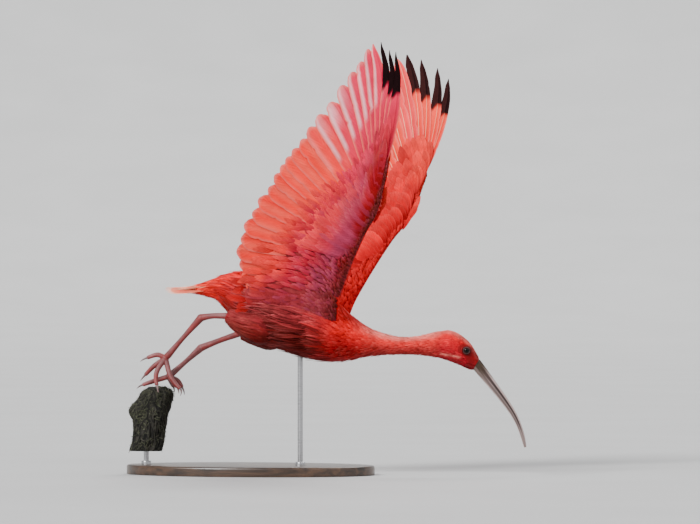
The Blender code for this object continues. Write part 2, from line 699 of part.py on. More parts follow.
def build_nostril(side, collection):
    """A cutter for one slit nostril, lying along the bill."""
    centre, up, half_depth, half_width = bill_frame(NOSTRIL_PLACE)
    along = Vector((0, 1, 0)).cross(up)
    rise = NOSTRIL_RISE * half_depth
    spot = centre + up * rise + Vector((0, side * half_width * NOSTRIL_OUT, 0))
    points = [tuple(spot + along * NOSTRIL_LENGTH * k) for k in (-0.5, 0.0, 0.5)]
    return tube("nostril", points, (NOSTRIL_END_WIDTH, NOSTRIL_WIDTH, NOSTRIL_END_WIDTH), 6,
                collection, steps=4)


def halfway(first, second):
    """The direction that a mitred joint between two limbs faces."""
    return (first.normalized() + second.normalized()).normalized()


def limb_directions(points, following):
    """The end direction of one limb where the next one goes on from it."""
    first = Vector(points[-1]) - Vector(points[-2])
    second = Vector(following[1]) - Vector(following[0])
    return halfway(first, second)


def past_gap(points, direction):
    """Points with the first one moved on by the gap."""
    return [tuple(Vector(points[0]) + direction * GAP)] + list(points[1:])


def build_leg(name, leg, collection, cutters):
    """Thigh, shank, tarsus, foot and claws of one leg."""
    thigh = tube("thigh_" + name, leg["thigh"], THIGH_RADII, 14, collection, steps=7)
    cut(thigh, body_cutter(cutters))
    leaving = (Vector(leg["thigh"][-1]) - spline(leg["thigh"], 1.98)).normalized()
    ankle = limb_directions(leg["shank"], leg["tarsus"])
    shank = tube("shank_" + name, past_gap(leg["shank"], leaving), SHANK_RADII, LEG_SIDES,
                 collection, start=leaving, end=ankle)
    down = (Vector(leg["tarsus"][-1]) - Vector(leg["tarsus"][-2])).normalized()
    tarsus = tube("tarsus_" + name, past_gap(leg["tarsus"], ankle), TARSUS_RADII, LEG_SIDES,
                  collection, start=ankle, end=down)
    foot = build_foot(name, leg, down, collection)
    cut(foot, build_perch("perch_cutter", cutters, grow=GAP))
    claws = [build_claw(name, toe, points, leg["claw_turn"][toe], collection)
             for toe, points in leg["toes"].items()]
    return [thigh, shank, tarsus, foot], claws


def build_foot(name, leg, down, collection):
    """The toes fused at the joint below the tarsus."""
    joint = Vector(leg["tarsus"][-1])
    middle = joint + down * FOOT_HUB_DOWN
    hub = ball("foot_" + name, middle, FOOT_HUB_RADIUS, collection, segments=12, rows=8)
    toes = [tube(toe, [tuple(middle)] + list(points[1:]),
                 (TOE_ROOT_RADIUS, TOE_RADIUS, TOE_TIP_RADIUS), TOE_SIDES, collection, steps=5)
            for toe, points in leg["toes"].items()]
    join(hub, toes)
    slab_end = joint + down * GAP
    slab = tube("slab", [tuple(slab_end - down * FOOT_SLAB_THICK), tuple(slab_end)],
                (FOOT_SLAB_RADIUS, FOOT_SLAB_RADIUS), 12, collection, start=down, end=down, steps=1)
    cut(hub, slab)
    return hub


def build_claw(name, toe, points, turn, collection):
    """A claw that bends down from the end of a toe."""
    tip = Vector(points[-1])
    ahead = (tip - Vector(points[-2])).normalized()
    base = tip + ahead * GAP
    bend = Vector(turn)
    path = [tuple(base), tuple(base + ahead * CLAW_AHEAD + bend * CLAW_FIRST_TURN),
            tuple(base + ahead * CLAW_TIP_AHEAD + bend)]
    return tube("claw_" + name + "_" + toe, path,
                (CLAW_RADIUS, CLAW_MIDDLE_RADIUS, CLAW_TIP_RADIUS), 6,
                collection, start=ahead, steps=5)


def perch_radius(angle, height, rise, phases):
    """The snag's radius at an angle and height, with its flutes and its burl."""
    radius = PERCH_RADIUS
    for (amount, round_waves, up_waves), phase in zip(PERCH_FLUTES, phases):
        radius += PERCH_RADIUS * amount * math.sin(round_waves * angle + up_waves * rise + phase)
    toward = max(0.0, math.cos(angle - math.pi))
    bump = math.exp(-((height - BURL_HEIGHT) / BURL_SPREAD) ** 2)
    return radius + BURL_REACH * toward ** 3 * bump


def build_perch(name, collection, grow=0.0):
    """The snag: a gnarled trunk with a burl, rounded at its broken top."""
    rings = []
    draw = random.Random(SEED)
    phases = [draw.uniform(0, math.tau) for _ in PERCH_FLUTES]
    low, high = Vector(PERCH_FOOT), Vector(PERCH_TOP)
    for step in range(PERCH_STEPS + 1):
        share = step / PERCH_STEPS
        rise = min(1.0, share / PERCH_SHOULDER)
        centre = low.lerp(high, share)
        over = max(0.0, share - PERCH_SHOULDER) / (1.01 - PERCH_SHOULDER)
        cap = math.sqrt(1 - over * over)
        if step == 0:
            centre.z -= grow
        if step == PERCH_STEPS:
            centre.z += grow
        ring = []
        for k in range(PERCH_SIDES):
            angle = math.tau * k / PERCH_SIDES
            radius = perch_radius(angle, low.z + (high.z - low.z) * share, rise, phases) * cap + grow
            ring.append(centre + radius * Vector((math.cos(angle), math.sin(angle), 0)))
        rings.append(ring)
    return mesh_object(name, loft(rings), collection, smooth=math.radians(50))


def build_stand(collection, cutters):
    """The base and its two rods."""
    bm = bmesh.new()
    bmesh.ops.create_cone(bm, cap_ends=True, segments=BASE_SEGMENTS, radius1=1, radius2=1,
                          depth=BASE_THICK)
    bmesh.ops.scale(bm, vec=(BASE_HALF_LENGTH, BASE_HALF_WIDTH, 1), verts=bm.verts)
    bmesh.ops.translate(bm, vec=(0, 0, BASE_THICK / 2), verts=bm.verts)
    rim = [edge for edge in bm.edges if edge.verts[0].co.z > BASE_THICK / 2
           and edge.verts[1].co.z > BASE_THICK / 2]
    bmesh.ops.bevel(bm, geom=rim, offset=BASE_ROUND, segments=2, profile=0.5, affect="EDGES")
    base = mesh_object("stand_base", bm, collection, smooth=math.radians(30))
    foot = Vector(PERCH_FOOT)
    bottom = Vector((foot.x, foot.y, BASE_THICK + GAP))
    rod_perch = tube("stand_rod_perch", [tuple(bottom), tuple(foot - Vector((0, 0, GAP)))],
                     (ROD_RADIUS, ROD_RADIUS), 16, collection, steps=1)
    belly = spline(BODY, ROD_BODY_STATION)[3]
    rod_body = tube("stand_rod_body", [(ROD_BODY_X, 0, BASE_THICK + GAP),
                                       (ROD_BODY_X, 0, belly + ROD_SINK)],
                    (ROD_RADIUS, ROD_RADIUS), 16, collection, steps=1)
    cut(rod_body, body_cutter(cutters))
    return [base], [rod_perch, rod_body]


def paint(objects, material):
    """Give each object a material."""
    for obj in objects:
        obj.data.materials.clear()
        obj.data.materials.append(material)


def main():
    """Build every piece of the bird, its perch and its stand."""
    clear_scene()
    parts = bpy.data.collections.new("scarlet_ibis")
    cutters = bpy.data.collections.new("cutters")
    for collection in (parts, cutters):
        bpy.context.scene.collection.children.link(collection)

    scarlet = make_material("scarlet_plumage", (0.72, 0.08, 0.03), 0.75)
    rose = make_material("rose_plumage", (0.80, 0.22, 0.14), 0.75)
    horn = make_material("bill_horn", (0.34, 0.20, 0.17), 0.45)
    skin = make_material("leg_skin", (0.42, 0.20, 0.20), 0.55)
    claw = make_material("claw_horn", (0.12, 0.09, 0.09), 0.4)
    eye = make_material("eye_dark", (0.02, 0.012, 0.01), 0.1)
    snag = make_material("weathered_wood", (0.07, 0.05, 0.035), 0.9)
    wood = make_material("stained_wood", (0.06, 0.035, 0.02), 0.45)
    steel = make_material("brushed_rod", (0.55, 0.55, 0.56), 0.35, 1.0)

    paint([build_torso(parts), build_tail(parts)], scarlet)
    paint([build_neck(parts), build_head(parts, cutters)], rose)
    paint([build_wing(name, side, parts, cutters) for name, side in SIDES.items()], scarlet)
    paint(build_eyes(parts), eye)
    paint([build_bill("bill_upper", True, parts, cutters),
           build_bill("bill_lower", False, parts, cutters)], horn)
    for name, leg in LEGS.items():
        limbs, claws = build_leg(name, leg, parts, cutters)
        paint(limbs[:1], scarlet)
        paint(limbs[1:], skin)
        paint(claws, claw)
    paint([build_perch("perch", parts)], snag)
    base, rods = build_stand(parts, cutters)
    paint(base, wood)
    paint(rods, steel)
    bpy.data.collections.remove(cutters)


if __name__ == "__main__":
    main()
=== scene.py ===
"""The looks of a life-size scarlet ibis display model, laid out as an add-on and run as a script.

The bird alights on a snag with both wings raised. Helper functions work in millimetres, in the
CAD's frame, and a mesh becomes metres as it is made.
"""

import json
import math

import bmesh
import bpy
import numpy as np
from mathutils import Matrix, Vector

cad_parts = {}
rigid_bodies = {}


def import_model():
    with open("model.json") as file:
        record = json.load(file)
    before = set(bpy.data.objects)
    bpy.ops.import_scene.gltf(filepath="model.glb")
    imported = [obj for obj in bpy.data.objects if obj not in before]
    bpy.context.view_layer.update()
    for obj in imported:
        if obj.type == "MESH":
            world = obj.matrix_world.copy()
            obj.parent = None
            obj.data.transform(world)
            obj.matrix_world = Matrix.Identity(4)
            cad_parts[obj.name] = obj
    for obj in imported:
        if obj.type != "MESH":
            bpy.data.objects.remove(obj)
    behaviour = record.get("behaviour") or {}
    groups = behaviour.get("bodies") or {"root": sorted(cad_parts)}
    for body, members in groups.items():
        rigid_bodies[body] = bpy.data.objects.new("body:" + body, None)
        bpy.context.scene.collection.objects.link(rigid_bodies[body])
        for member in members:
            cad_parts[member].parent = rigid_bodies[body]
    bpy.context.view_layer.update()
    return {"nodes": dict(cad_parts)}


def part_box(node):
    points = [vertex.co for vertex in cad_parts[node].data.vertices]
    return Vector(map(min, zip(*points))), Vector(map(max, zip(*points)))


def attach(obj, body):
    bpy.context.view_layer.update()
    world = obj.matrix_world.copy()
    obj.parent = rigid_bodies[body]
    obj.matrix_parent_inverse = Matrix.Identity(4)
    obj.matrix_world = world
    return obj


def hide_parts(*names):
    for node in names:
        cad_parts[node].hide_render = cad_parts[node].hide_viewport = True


bl_info = {
    "name": "Scarlet Ibis Display Model",
    "version": (1, 0, 0),
    "blender": (4, 5, 0),
    "location": "View3D > Sidebar > Ibis",
    "description": "Builds the skin, plumage, bill, legs, perch and stand of a scarlet ibis model",
    "category": "Object",
}

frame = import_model()

MM = 0.001
SEED = 11
SIDES = {"right": -1.0, "left": 1.0}
TAU = math.tau

# Stations of the body from the tail coverts to the bill: top x and z, bottom x and z, half width
BODY = np.array([
    (-97, 280.0, -97, 275.0, 7.0), (-77, 286.0, -77, 270.5, 17.0),
    (-53, 295.5, -53, 262.0, 22.0), (-34, 302.3, -34, 243.0, 25.0),
    (-11, 305.5, -11, 212.0, 33.0), (18, 305.0, 18, 199.0, 42.0),
    (48, 300.0, 48, 189.0, 50.0), (77, 291.0, 77, 179.1, 53.5),
    (104, 277.5, 104, 173.5, 53.0), (130, 261.0, 130, 170.5, 46.5),
    (154, 240.5, 154, 172.5, 35.0), (179, 223.1, 179, 177.5, 22.5),
    (206, 211.8, 206, 180.8, 15.0), (232, 207.0, 232, 181.6, 12.6),
    (256, 207.8, 256, 181.2, 12.4), (280, 213.2, 280, 178.5, 13.8),
    (302.7, 217.5, 300, 173.4, 16.2), (317, 213.4, 312.5, 169.2, 16.8),
    (329, 205.2, 323, 165.2, 15.8), (338.5, 195.4, 331.5, 161.8, 12.8),
    (345.5, 184.0, 337.8, 159.6, 9.4), (350.8, 173.6, 342.0, 158.4, 7.2)])
BODY_SQUARENESS = 2.15
KEEL = 0.07
BODY_LAST = len(BODY) - 1
COAT_STATIONS = (0, 3, 10, 12, 15, 18, 21)
COAT_DEPTHS = (1.4, 2.6, 2.4, 1.6, 1.3, 0.9, 0.2)      # how far the skin lies inside the solids

# Bill: centre line, and the depth and half width along it
BILL_LINE = np.array([(347.0, 166.1), (366.7, 141.5), (387.0, 115.5), (401.7, 94.3),
                      (410.6, 76.7), (416.6, 59.1), (420.3, 43.5)])
BILL_DEPTH = np.array([18.0, 13.8, 11.0, 8.8, 7.2, 6.0, 3.6])
BILL_HALF_WIDTH = np.array([7.0, 5.9, 5.0, 4.2, 3.6, 3.1, 1.9])
MOUTH_HEIGHT = 0.38
MOUTH_GAP = 0.35
BILL_BASE_SHARE = 0.16
NOSTRIL_PLACE = 0.085

EYE = (333.4, 11.6, 187.2)
EYE_RADIUS = 5.6
HEAD_START = 300.0
FACE_LINE = ((329.0, 189.5), (334.5, 186.0), (346.0, 169.0), (338.0, 160.5))
GAPE = ((346.5, 163.5), (338.0, 166.8), (330.0, 170.5))
MOUSTACHE = ((300.0, 181.0), (314.0, 178.5), (327.0, 175.0))

# Wings: a height field over the side view, x along the body and h above the shoulder
SHOULDER_Y, SHOULDER_Z = 38.0, 238.5
LEAD_ROOT_X, LEAD_SWEEP, LEAD_SCALE, LEAD_POWER = 143.0, 128.0, 165.0, 1.5
SPREAD, SPREAD_EASE = 0.56, 0.00030
CHORD, CAMBER, CAMBER_MIDDLE = 180.0, 14.0, 0.35
BANK = {"right": math.radians(3.4), "left": math.radians(1.4)}
CORE_CHORD = (0.0, 0.05, 0.18, 0.38, 0.62, 0.85, 1.0)
CORE_THICKNESS = (0.0, 0.52, 0.88, 1.0, 0.72, 0.36, 0.16)
ARM = np.array([
    (141, -12, 14, 2, 18), (149, 20, 6, 34, 19), (165, 56, 52, 80, 16.5),
    (183, 91, 96, 124, 15), (199, 119, 138, 156, 13), (214, 140, 172, 178, 11.5),
    (225, 165, 196, 198, 9), (233, 192, 214, 220, 6.5), (239, 214, 228, 236, 3.2)])
FLIGHT_COUNT, PRIMARY_COUNT = 25, 10
INK_COUNT = {"right": 3, "left": 4}
FLIGHT_ROOTS = np.array([(229, 209), (224, 189), (219, 167), (214, 146), (196, 126),
                         (174, 112), (152, 97), (134, 80), (116, 46)], float)
FLIGHT_TIPS = {
    "right": np.array([(266, 373), (232, 390), (195, 348), (141, 286), (99, 238), (70, 200),
                       (29, 147), (2, 90), (8, 42)], float),
    "left": np.array([(265, 368), (197, 408), (152, 362), (116, 292), (86, 243), (64, 200),
                      (29, 147), (2, 90), (8, 42)], float),
}
FLIGHT_HALF_WIDTHS = np.array([8.5, 11.0, 13.0, 14.5, 14.0, 14.0, 14.5, 15.0, 14.0])
PRIMARY_OUTLINE = ((0.0, 0.55), (0.22, 0.85), (0.5, 1.0), (0.78, 0.86), (0.93, 0.52), (1.0, 0.08))
SECONDARY_OUTLINE = ((0.0, 0.6), (0.4, 0.95), (0.75, 1.05), (0.93, 0.96), (0.98, 0.66), (1.0, 0.25))
TAIL_OUTLINE = ((0.0, 0.6), (0.35, 0.9), (0.65, 1.0), (0.86, 0.66), (1.0, 0.06))
VANE_CLEARANCE = 1.15
FEATHER_BOW = 0.035

# Tail
TAIL_HINGE_X, TAIL_HINGE_Z, TAIL_TIP_Z = -54.0, 279.3, 276.8
TAIL_LENGTH, TAIL_HALF_WIDTH, TAIL_ARCH = 76.0, 11.0, 0.004
# Tail coverts: face, x of the roots, length, lift, count
TAIL_COVERT_ROWS = (
    (1, -66, 46, 5.0, 24), (1, -57, 46, 6.8, 26), (1, -46, 44, 8.8, 26), (1, -36, 40, 11.0, 22),
    (-1, -60, 44, -4.0, 14), (-1, -50, 42, -6.8, 15), (-1, -42, 38, -10.2, 16))

# Legs: right side with y < 0, joints from the body out, and each toe from its first joint
LEGS = {
    "right": {
        "thigh": [(44, -30, 212), (8, -37, 224), (-27, -31, 238.5)],
        "shank": [(-20, -31.5, 238), (-50, -31.5, 238.5), (-69, -32, 235.5)],
        "tarsus": [(-69, -32, 235.5), (-98, -23, 206), (-125.5, -14, 177)],
        "toes": {
            "hallux": [(-140, -15, 179.5), (-156, -16, 175)],
            "inner": [(-146, -11, 163), (-161, -8, 149)],
            "middle": [(-121, -18, 151), (-115, -20, 141), (-104, -21, 129)],
            "outer": [(-138, -22, 158), (-140.5, -25, 144), (-138, -27.5, 134)],
        },
        "claw_turn": {"hallux": (-8, -1, -5), "inner": (-6, 1, -7), "middle": (-1, -1, -9),
                      "outer": (2, -2.5, -8)},
    },
    "left": {
        "thigh": [(44, 30, 206), (8, 36, 211), (-22, 32, 213)],
        "shank": [(-16, 30, 214), (-58, 44, 200.5), (-90, 56, 189)],
        "tarsus": [(-90, 56, 189), (-108, 32, 168.5), (-126, 8, 148.5)],
        "toes": {
            "hallux": [(-150, 10, 140), (-170, 12, 133.5)],
            "inner": [(-119, -1, 139), (-112, -7, 131)],
            "middle": [(-115, 10, 140), (-108.5, 11, 130)],
            "outer": [(-128, 20, 138.5), (-128, 34, 131)],
        },
        "claw_turn": {"hallux": (-7, 1, -5), "inner": (2, -1.5, -8), "middle": (2, 0, -9),
                      "outer": (0, 6, -8)},
    },
}
THIGH_RADII = (13.0, 21.0, 18.5, 13.5, 7.5)
SHANK_RADII = (5.2, 4.2, 5.6)
TARSUS_RADII = (5.8, 3.7, 5.2)
TOE_RADII = (4.0, 3.7, 2.8)
CLAW_RADII = (2.3, 1.6, 0.4)
LEG_VOXEL = 0.6

# Perch and stand
PERCH_FOOT, PERCH_TOP = np.array((-161.0, -2.0, 34.0)), np.array((-143.0, -2.0, 131.0))
PERCH_RADIUS, PERCH_SHOULDER = 23.5, 0.86
PERCH_FLUTES = ((0.06, 3, 3), (0.04, 5, -5), (0.05, 1, 8))
PERCH_PHASES = (2.841, 3.517, 5.813)
BURL_HEIGHT, BURL_REACH, BURL_SPREAD = 97.0, 12.0, 15.0
GRAIN_STRETCH, TUFT_COUNT = 0.22, 4200
BASE_HALF_LENGTH, BASE_HALF_WIDTH, BASE_THICK, BASE_ROUND = 190.0, 110.0, 14.0, 3.0
COLLAR_RADIUS, COLLAR_HEIGHT = 7.5, 5.0
BASE_FOOT_ROUND, COLLAR_ROUND = 0.8, 1.2
RODS = ("stand_rod_body", "stand_rod_perch")

# Camera: the photo's view from the bird's right side
CAMERA_AZIMUTH, CAMERA_DISTANCE, CAMERA_LENS, CAMERA_SENSOR = 12.0, 8.0, 274.3, 36.0
CAMERA_AIM = Vector((0.1534, 0.0, 0.3195))
# The floor and the wall it sweeps up to all round, as radius and height in metres
BOWL = ((0.0, 0.0), (4.0, 0.0), (11.0, 0.0), (13.0, 0.12), (15.0, 0.55), (17.0, 1.4), (18.5, 2.8),
        (19.4, 4.4), (19.8, 6.2))


def spline(rows, place):
    """Catmull-Rom through rows of numbers, at an array of places counted in rows."""
    rows = np.asarray(rows, float)
    last = len(rows) - 1
    place = np.clip(np.asarray(place, float), 0.0, last)
    low = np.minimum(place.astype(int), last - 1)
    u = place - low
    if rows.ndim > 1:
        u = u[..., None]
    p0, p1, p2, p3 = (rows[np.clip(low + k, 0, last)] for k in (-1, 0, 1, 2))
    return 0.5 * (2 * p1 + (p2 - p0) * u + (2 * p0 - 5 * p1 + 4 * p2 - p3) * u ** 2
                  + (3 * p1 - p0 - 3 * p2 + p3) * u ** 3)


def outline(points, s):
    """A feather's half width at shares of its length, as a share of its widest."""
    places = [point[0] for point in points]
    return spline([point[1] for point in points], np.interp(s, places, range(len(points))))


def smooth(low, high, values):
    """A smooth step from 0 at low to 1 at high."""
    u = np.clip((np.asarray(values, float) - low) / (high - low), 0.0, 1.0)
    return u * u * (3 - 2 * u)


def unit(vectors):
    """Vectors at length one."""
    return vectors / np.maximum(np.linalg.norm(vectors, axis=-1, keepdims=True), 1e-9)


def mix(first, second, share):
    """A blend of two colours or arrays of colours."""
    share = np.asarray(share, float)[..., None]
    return np.asarray(first) * (1 - share) + np.asarray(second) * share


def ripple(points, scale, seed, waves=7):
    """A smooth field of about -1 to 1 over points, with waves near the given length."""
    draw = np.random.default_rng(seed)
    total = 0.0
    for _ in range(waves):
        direction = unit(draw.normal(size=3))
        rate = TAU / scale * draw.uniform(0.6, 1.6)
        total = total + np.sin(points @ direction * rate + draw.uniform(0, TAU))
    return total * 0.8 / math.sqrt(waves)


def body_surface(t, angle, lift=0.0):
    """Points of the body at station t, at an angle up from its left side."""
    row = spline(BODY, t)
    top = np.stack([row[..., 0], 0 * row[..., 0], row[..., 1]], axis=-1)
    low = np.stack([row[..., 2], 0 * row[..., 0], row[..., 3]], axis=-1)
    power = 2 / BODY_SQUARENESS
    across = np.sign(np.cos(angle)) * np.abs(np.cos(angle)) ** power
    rise = np.sign(np.sin(angle)) * np.abs(np.sin(angle)) ** power
    width = (row[..., 4] + lift) * (1 + KEEL * rise) * across
    height = np.linalg.norm(top - low, axis=-1) / 2 + lift
    points = (top + low) / 2 + unit(top - low) * (height * rise)[..., None]
    points[..., 1] += width
    return points


def leading_x(h):
    """The x of the wing's leading edge at a height above the shoulder."""
    return LEAD_ROOT_X + LEAD_SWEEP * (1 - np.exp(-(np.maximum(h, 0) / LEAD_SCALE) ** LEAD_POWER))


def wing_reach(x, h):
    """How far the wing's surface lies from the body's middle plane."""
    bend = (((leading_x(h) - x) / CHORD - CAMBER_MIDDLE) / (1 - CAMBER_MIDDLE)) ** 2
    return SHOULDER_Y + SPREAD * h - SPREAD_EASE * h * h + CAMBER * bend


def wing_surface(name):
    """The surface of one wing: a function of x, h and the lift to its upper side."""
    side = SIDES[name]
    turn = np.array(Matrix.Rotation(-BANK[name], 3, "X"))

    def place(x, h, lift=0.0):
        step = 0.5
        slope_x = wing_reach(x + step, h) - wing_reach(x - step, h)
        slope_h = wing_reach(x, h + step) - wing_reach(x, h - step)
        normal = unit(np.stack([slope_x, np.ones_like(slope_x), slope_h], axis=-1))
        points = np.stack([x, -wing_reach(x, h), h], axis=-1) + np.asarray(lift)[..., None] * normal
        points[..., 1] *= -side
        return points @ turn.T + (0, 0, SHOULDER_Z)

    return place


def limb_surface(path, radii):
    """The surface of a round limb: a function of the place along it, the angle and the lift."""
    path = np.asarray(path, float)
    last = len(path) - 1

    def place(t, angle, lift=0.0):
        tangent = unit(spline(path, t + 0.02) - spline(path, t - 0.02))
        side = unit(np.cross(tangent, (0.0, 0.0, 1.0)))
        up = np.cross(side, tangent)
        radius = spline(np.asarray(radii), np.asarray(t) * (len(radii) - 1) / last) + lift
        return spline(path, t) + radius[..., None] * (np.cos(angle)[..., None] * side
                                                      + np.sin(angle)[..., None] * up)

    return place


CELL, FIELD_CELLS = 1.5, 220
FIELD_LOW = np.array((-40.0, -40.0))


def arm_section(u, c):
    """Spots at stations u of the arm and shares c of its chord, and half its thickness there."""
    row = spline(ARM, u)
    spots = row[..., 0:2] * (1 - c[..., None]) + row[..., 2:4] * c[..., None]
    return spots, row[..., 4] / 2 * np.interp(c, CORE_CHORD, CORE_THICKNESS)


def arm_thickness_field():
    """Half the arm's thickness over a grid of x and h, smoothed at its edge."""
    u, c = np.meshgrid(np.linspace(0, len(ARM) - 1, 420), np.linspace(0, 1, 160), indexing="ij")
    spots, half = arm_section(u, c)
    field = np.zeros((FIELD_CELLS, FIELD_CELLS))
    cells = ((spots - FIELD_LOW) / CELL).astype(int)
    np.maximum.at(field, (cells[..., 0], cells[..., 1]), half)
    for _ in range(3):
        padded = np.pad(field, 1, mode="edge")
        field = (2 * field + padded[2:, 1:-1] + padded[:-2, 1:-1]
                 + padded[1:-1, 2:] + padded[1:-1, :-2]) / 6
    return field


ARM_FIELD = arm_thickness_field()


def arm_half(x, h):
    """Half the arm's thickness at x and h, and 0 off it."""
    gx = np.clip((x - FIELD_LOW[0]) / CELL - 0.5, 0, FIELD_CELLS - 2)
    gh = np.clip((h - FIELD_LOW[1]) / CELL - 0.5, 0, FIELD_CELLS - 2)
    i, j = gx.astype(int), gh.astype(int)
    u, v = gx - i, gh - j
    return ((1 - u) * (1 - v) * ARM_FIELD[i, j] + u * (1 - v) * ARM_FIELD[i + 1, j]
            + (1 - u) * v * ARM_FIELD[i, j + 1] + u * v * ARM_FIELD[i + 1, j + 1])


def set_mesh(mesh, points, polygons):
    """Fill a mesh from points in millimetres and arrays of polygons of equal size."""
    mesh.vertices.add(len(points))
    mesh.vertices.foreach_set("co", (points * MM).astype(np.float32).ravel())
    loops = np.concatenate([rows.ravel() for rows in polygons]).astype(np.int32)
    sizes = np.concatenate([np.full(len(rows), rows.shape[1]) for rows in polygons])
    mesh.loops.add(len(loops))
    mesh.loops.foreach_set("vertex_index", loops)
    mesh.polygons.add(len(sizes))
    mesh.polygons.foreach_set("loop_start", (np.cumsum(sizes) - sizes).astype(np.int32))
    mesh.update(calc_edges=True)
    mesh.validate()


def set_uv(mesh, name, values):
    """Give a mesh a UV map from one pair for each vertex."""
    layer = mesh.uv_layers.new(name=name)
    corners = np.empty(len(mesh.loops), np.int32)
    mesh.loops.foreach_get("vertex_index", corners)
    layer.data.foreach_set("uv", values[corners].astype(np.float32).ravel())


def set_tint(mesh, colors):
    """Give a mesh its colour attribute, one colour for each vertex."""
    layer = mesh.color_attributes.new("tint", "FLOAT_COLOR", "POINT")
    rgba = np.ones((len(colors), 4), np.float32)
    rgba[:, :3] = np.clip(colors, 0.0, 1.0)
    layer.data.foreach_set("color", rgba.ravel())


def vertex_rows(mesh, key):
    """One vector of each vertex of a mesh, such as its normal."""
    rows = np.empty(len(mesh.vertices) * 3, np.float32)
    mesh.vertices.foreach_get(key, rows)
    return rows.reshape(-1, 3).astype(float)


def mesh_points(mesh):
    """A mesh's vertices in millimetres."""
    return vertex_rows(mesh, "co") / MM


def add_object(name, data):
    """A new object, put in the scene."""
    obj = bpy.data.objects.new(name, data)
    bpy.context.scene.collection.objects.link(obj)
    return obj


def link(name, mesh, material, slot, *nodes):
    """Put a finished mesh in the scene, on the root body, in place of its CAD nodes."""
    obj = add_object(name, mesh)
    mesh.materials.clear()
    mesh.materials.append(material)
    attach(obj, "root")
    if nodes:
        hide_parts(*nodes)


def closed_loft(rings, bm=None):
    """A closed skin over rings of points: a grid wrapped round them, welded and filled."""
    count, sides = rings.shape[:2]
    bm = bm or bmesh.new()
    grid = bmesh.ops.create_grid(bm, x_segments=sides, y_segments=count - 1, size=1.0)["verts"]
    for vert in grid:
        across = round((vert.co.x + 1) / 2 * sides) % sides
        along = round((vert.co.y + 1) / 2 * (count - 1))
        vert.co = rings[along][across]
    bmesh.ops.remove_doubles(bm, verts=grid, dist=1e-4)
    rims = [edge for edge in bm.edges if edge.is_boundary]
    bmesh.ops.holes_fill(bm, edges=rims, sides=0)
    bmesh.ops.recalc_face_normals(bm, faces=bm.faces)
    return bm


def bmesh_to_mesh(name, bm, angle=60.0):
    """A mesh in metres from a bmesh in millimetres, smooth but for its sharp edges."""
    bmesh.ops.scale(bm, vec=(MM, MM, MM), verts=bm.verts)
    mesh = bpy.data.meshes.new(name)
    bm.to_mesh(mesh)
    bm.free()
    mesh.shade_smooth()
    mesh.set_sharp_from_angle(angle=math.radians(angle))
    return mesh


def sweep(path, radii, steps, sides, flat=1.0):
    """Rings of points round a path, with frames carried along it without twist."""
    path, radii = np.asarray(path, float), np.asarray(radii, float)
    last = len(path) - 1
    rings = []
    side = None
    for step in range(steps + 1):
        t = np.array(last * step / steps)
        tangent = unit(spline(path, t + 0.03) - spline(path, t - 0.03))
        if side is None:
            side = np.cross(tangent, (0.0, 0.0, 1.0) if abs(tangent[2]) < 0.9 else (0.0, 1.0, 0.0))
        side = unit(side - tangent * side.dot(tangent))
        up = np.cross(side, tangent)
        radius = spline(radii, t * (len(radii) - 1) / last)
        turn = np.arange(sides)[:, None] * TAU / sides
        rings.append(spline(path, t) + radius * (np.cos(turn) * side + flat * np.sin(turn) * up))
    return np.array(rings)


def applied(mesh, name, kind, **settings):
    """A copy of a mesh with one modifier applied to it."""
    obj = add_object(name, mesh)
    modifier = obj.modifiers.new(name, kind)
    for key, value in settings.items():
        setattr(modifier, key, value)
    depsgraph = bpy.context.evaluated_depsgraph_get()
    result = bpy.data.meshes.new_from_object(obj.evaluated_get(depsgraph))
    bpy.data.objects.remove(obj)
    bpy.data.meshes.remove(mesh)
    result.name = name
    return result


class Template:
    """The shape that all feathers of one kind share: stations, outline and ring of points."""

    def __init__(self, stations, outline_points, across, rise, root_share=0.25):
        self.s = np.asarray(stations, float)
        self.width = outline(outline_points, self.s)
        self.across = np.asarray(across, float)
        self.rise = np.asarray(rise, float)
        self.taper = np.clip(1.0 - 0.7 * self.s ** 2, 0.0, 1.0)
        self.root_share = root_share


def flight_template(points):
    """A flight feather: a thin blade with a raised shaft nearer its leading edge."""
    upper = (-1.0, -0.7, -0.4, -0.08, 0.22, 0.28, 0.34, 0.66, 1.0)
    rise = (0.0, 0.2, 0.25, 0.28, 0.3, 0.95, 0.3, 0.22, 0.0)
    ring = upper + upper[-2:0:-1]
    rises = rise + tuple(-value for value in rise[-2:0:-1])
    stations = np.concatenate([np.linspace(0, 0.9, 38), np.linspace(0.915, 1.0, 10)])
    return Template(stations, points, ring, rises)


COVERT_OUTLINE = ((0.0, 0.10), (0.1, 0.55), (0.3, 0.88), (0.65, 1.0), (0.88, 0.8), (1.0, 0.18))
CONTOUR_OUTLINE = ((0.0, 0.35), (0.3, 0.9), (0.6, 1.0), (0.85, 0.6), (1.0, 0.1))
PLUME_OUTLINE = ((0.0, 0.5), (0.3, 1.0), (0.7, 0.8), (1.0, 0.08))
PRIMARY = flight_template(PRIMARY_OUTLINE)
SECONDARY = flight_template(SECONDARY_OUTLINE)
COVERT = Template(np.linspace(0, 1, 13), COVERT_OUTLINE,
                  (-1.0, -0.5, 0.05, 0.15, 0.25, 0.6, 1.0, 0.15),
                  (0.0, 0.3, 0.35, 0.8, 0.35, 0.3, 0.0, -0.3))
SMALL_COVERT = Template((0.0, 0.2, 0.42, 0.64, 0.82, 0.94, 1.0), COVERT_OUTLINE,
                        (-1.0, -0.35, 0.1, 0.5, 1.0, 0.1), (0.0, 0.3, 0.6, 0.3, 0.0, -0.25))
CONTOUR = Template((0.0, 0.25, 0.5, 0.75, 0.92, 1.0), CONTOUR_OUTLINE,
                   (-1.0, 0.0, 1.0, 0.0), (0.0, 0.55, 0.0, -0.2))
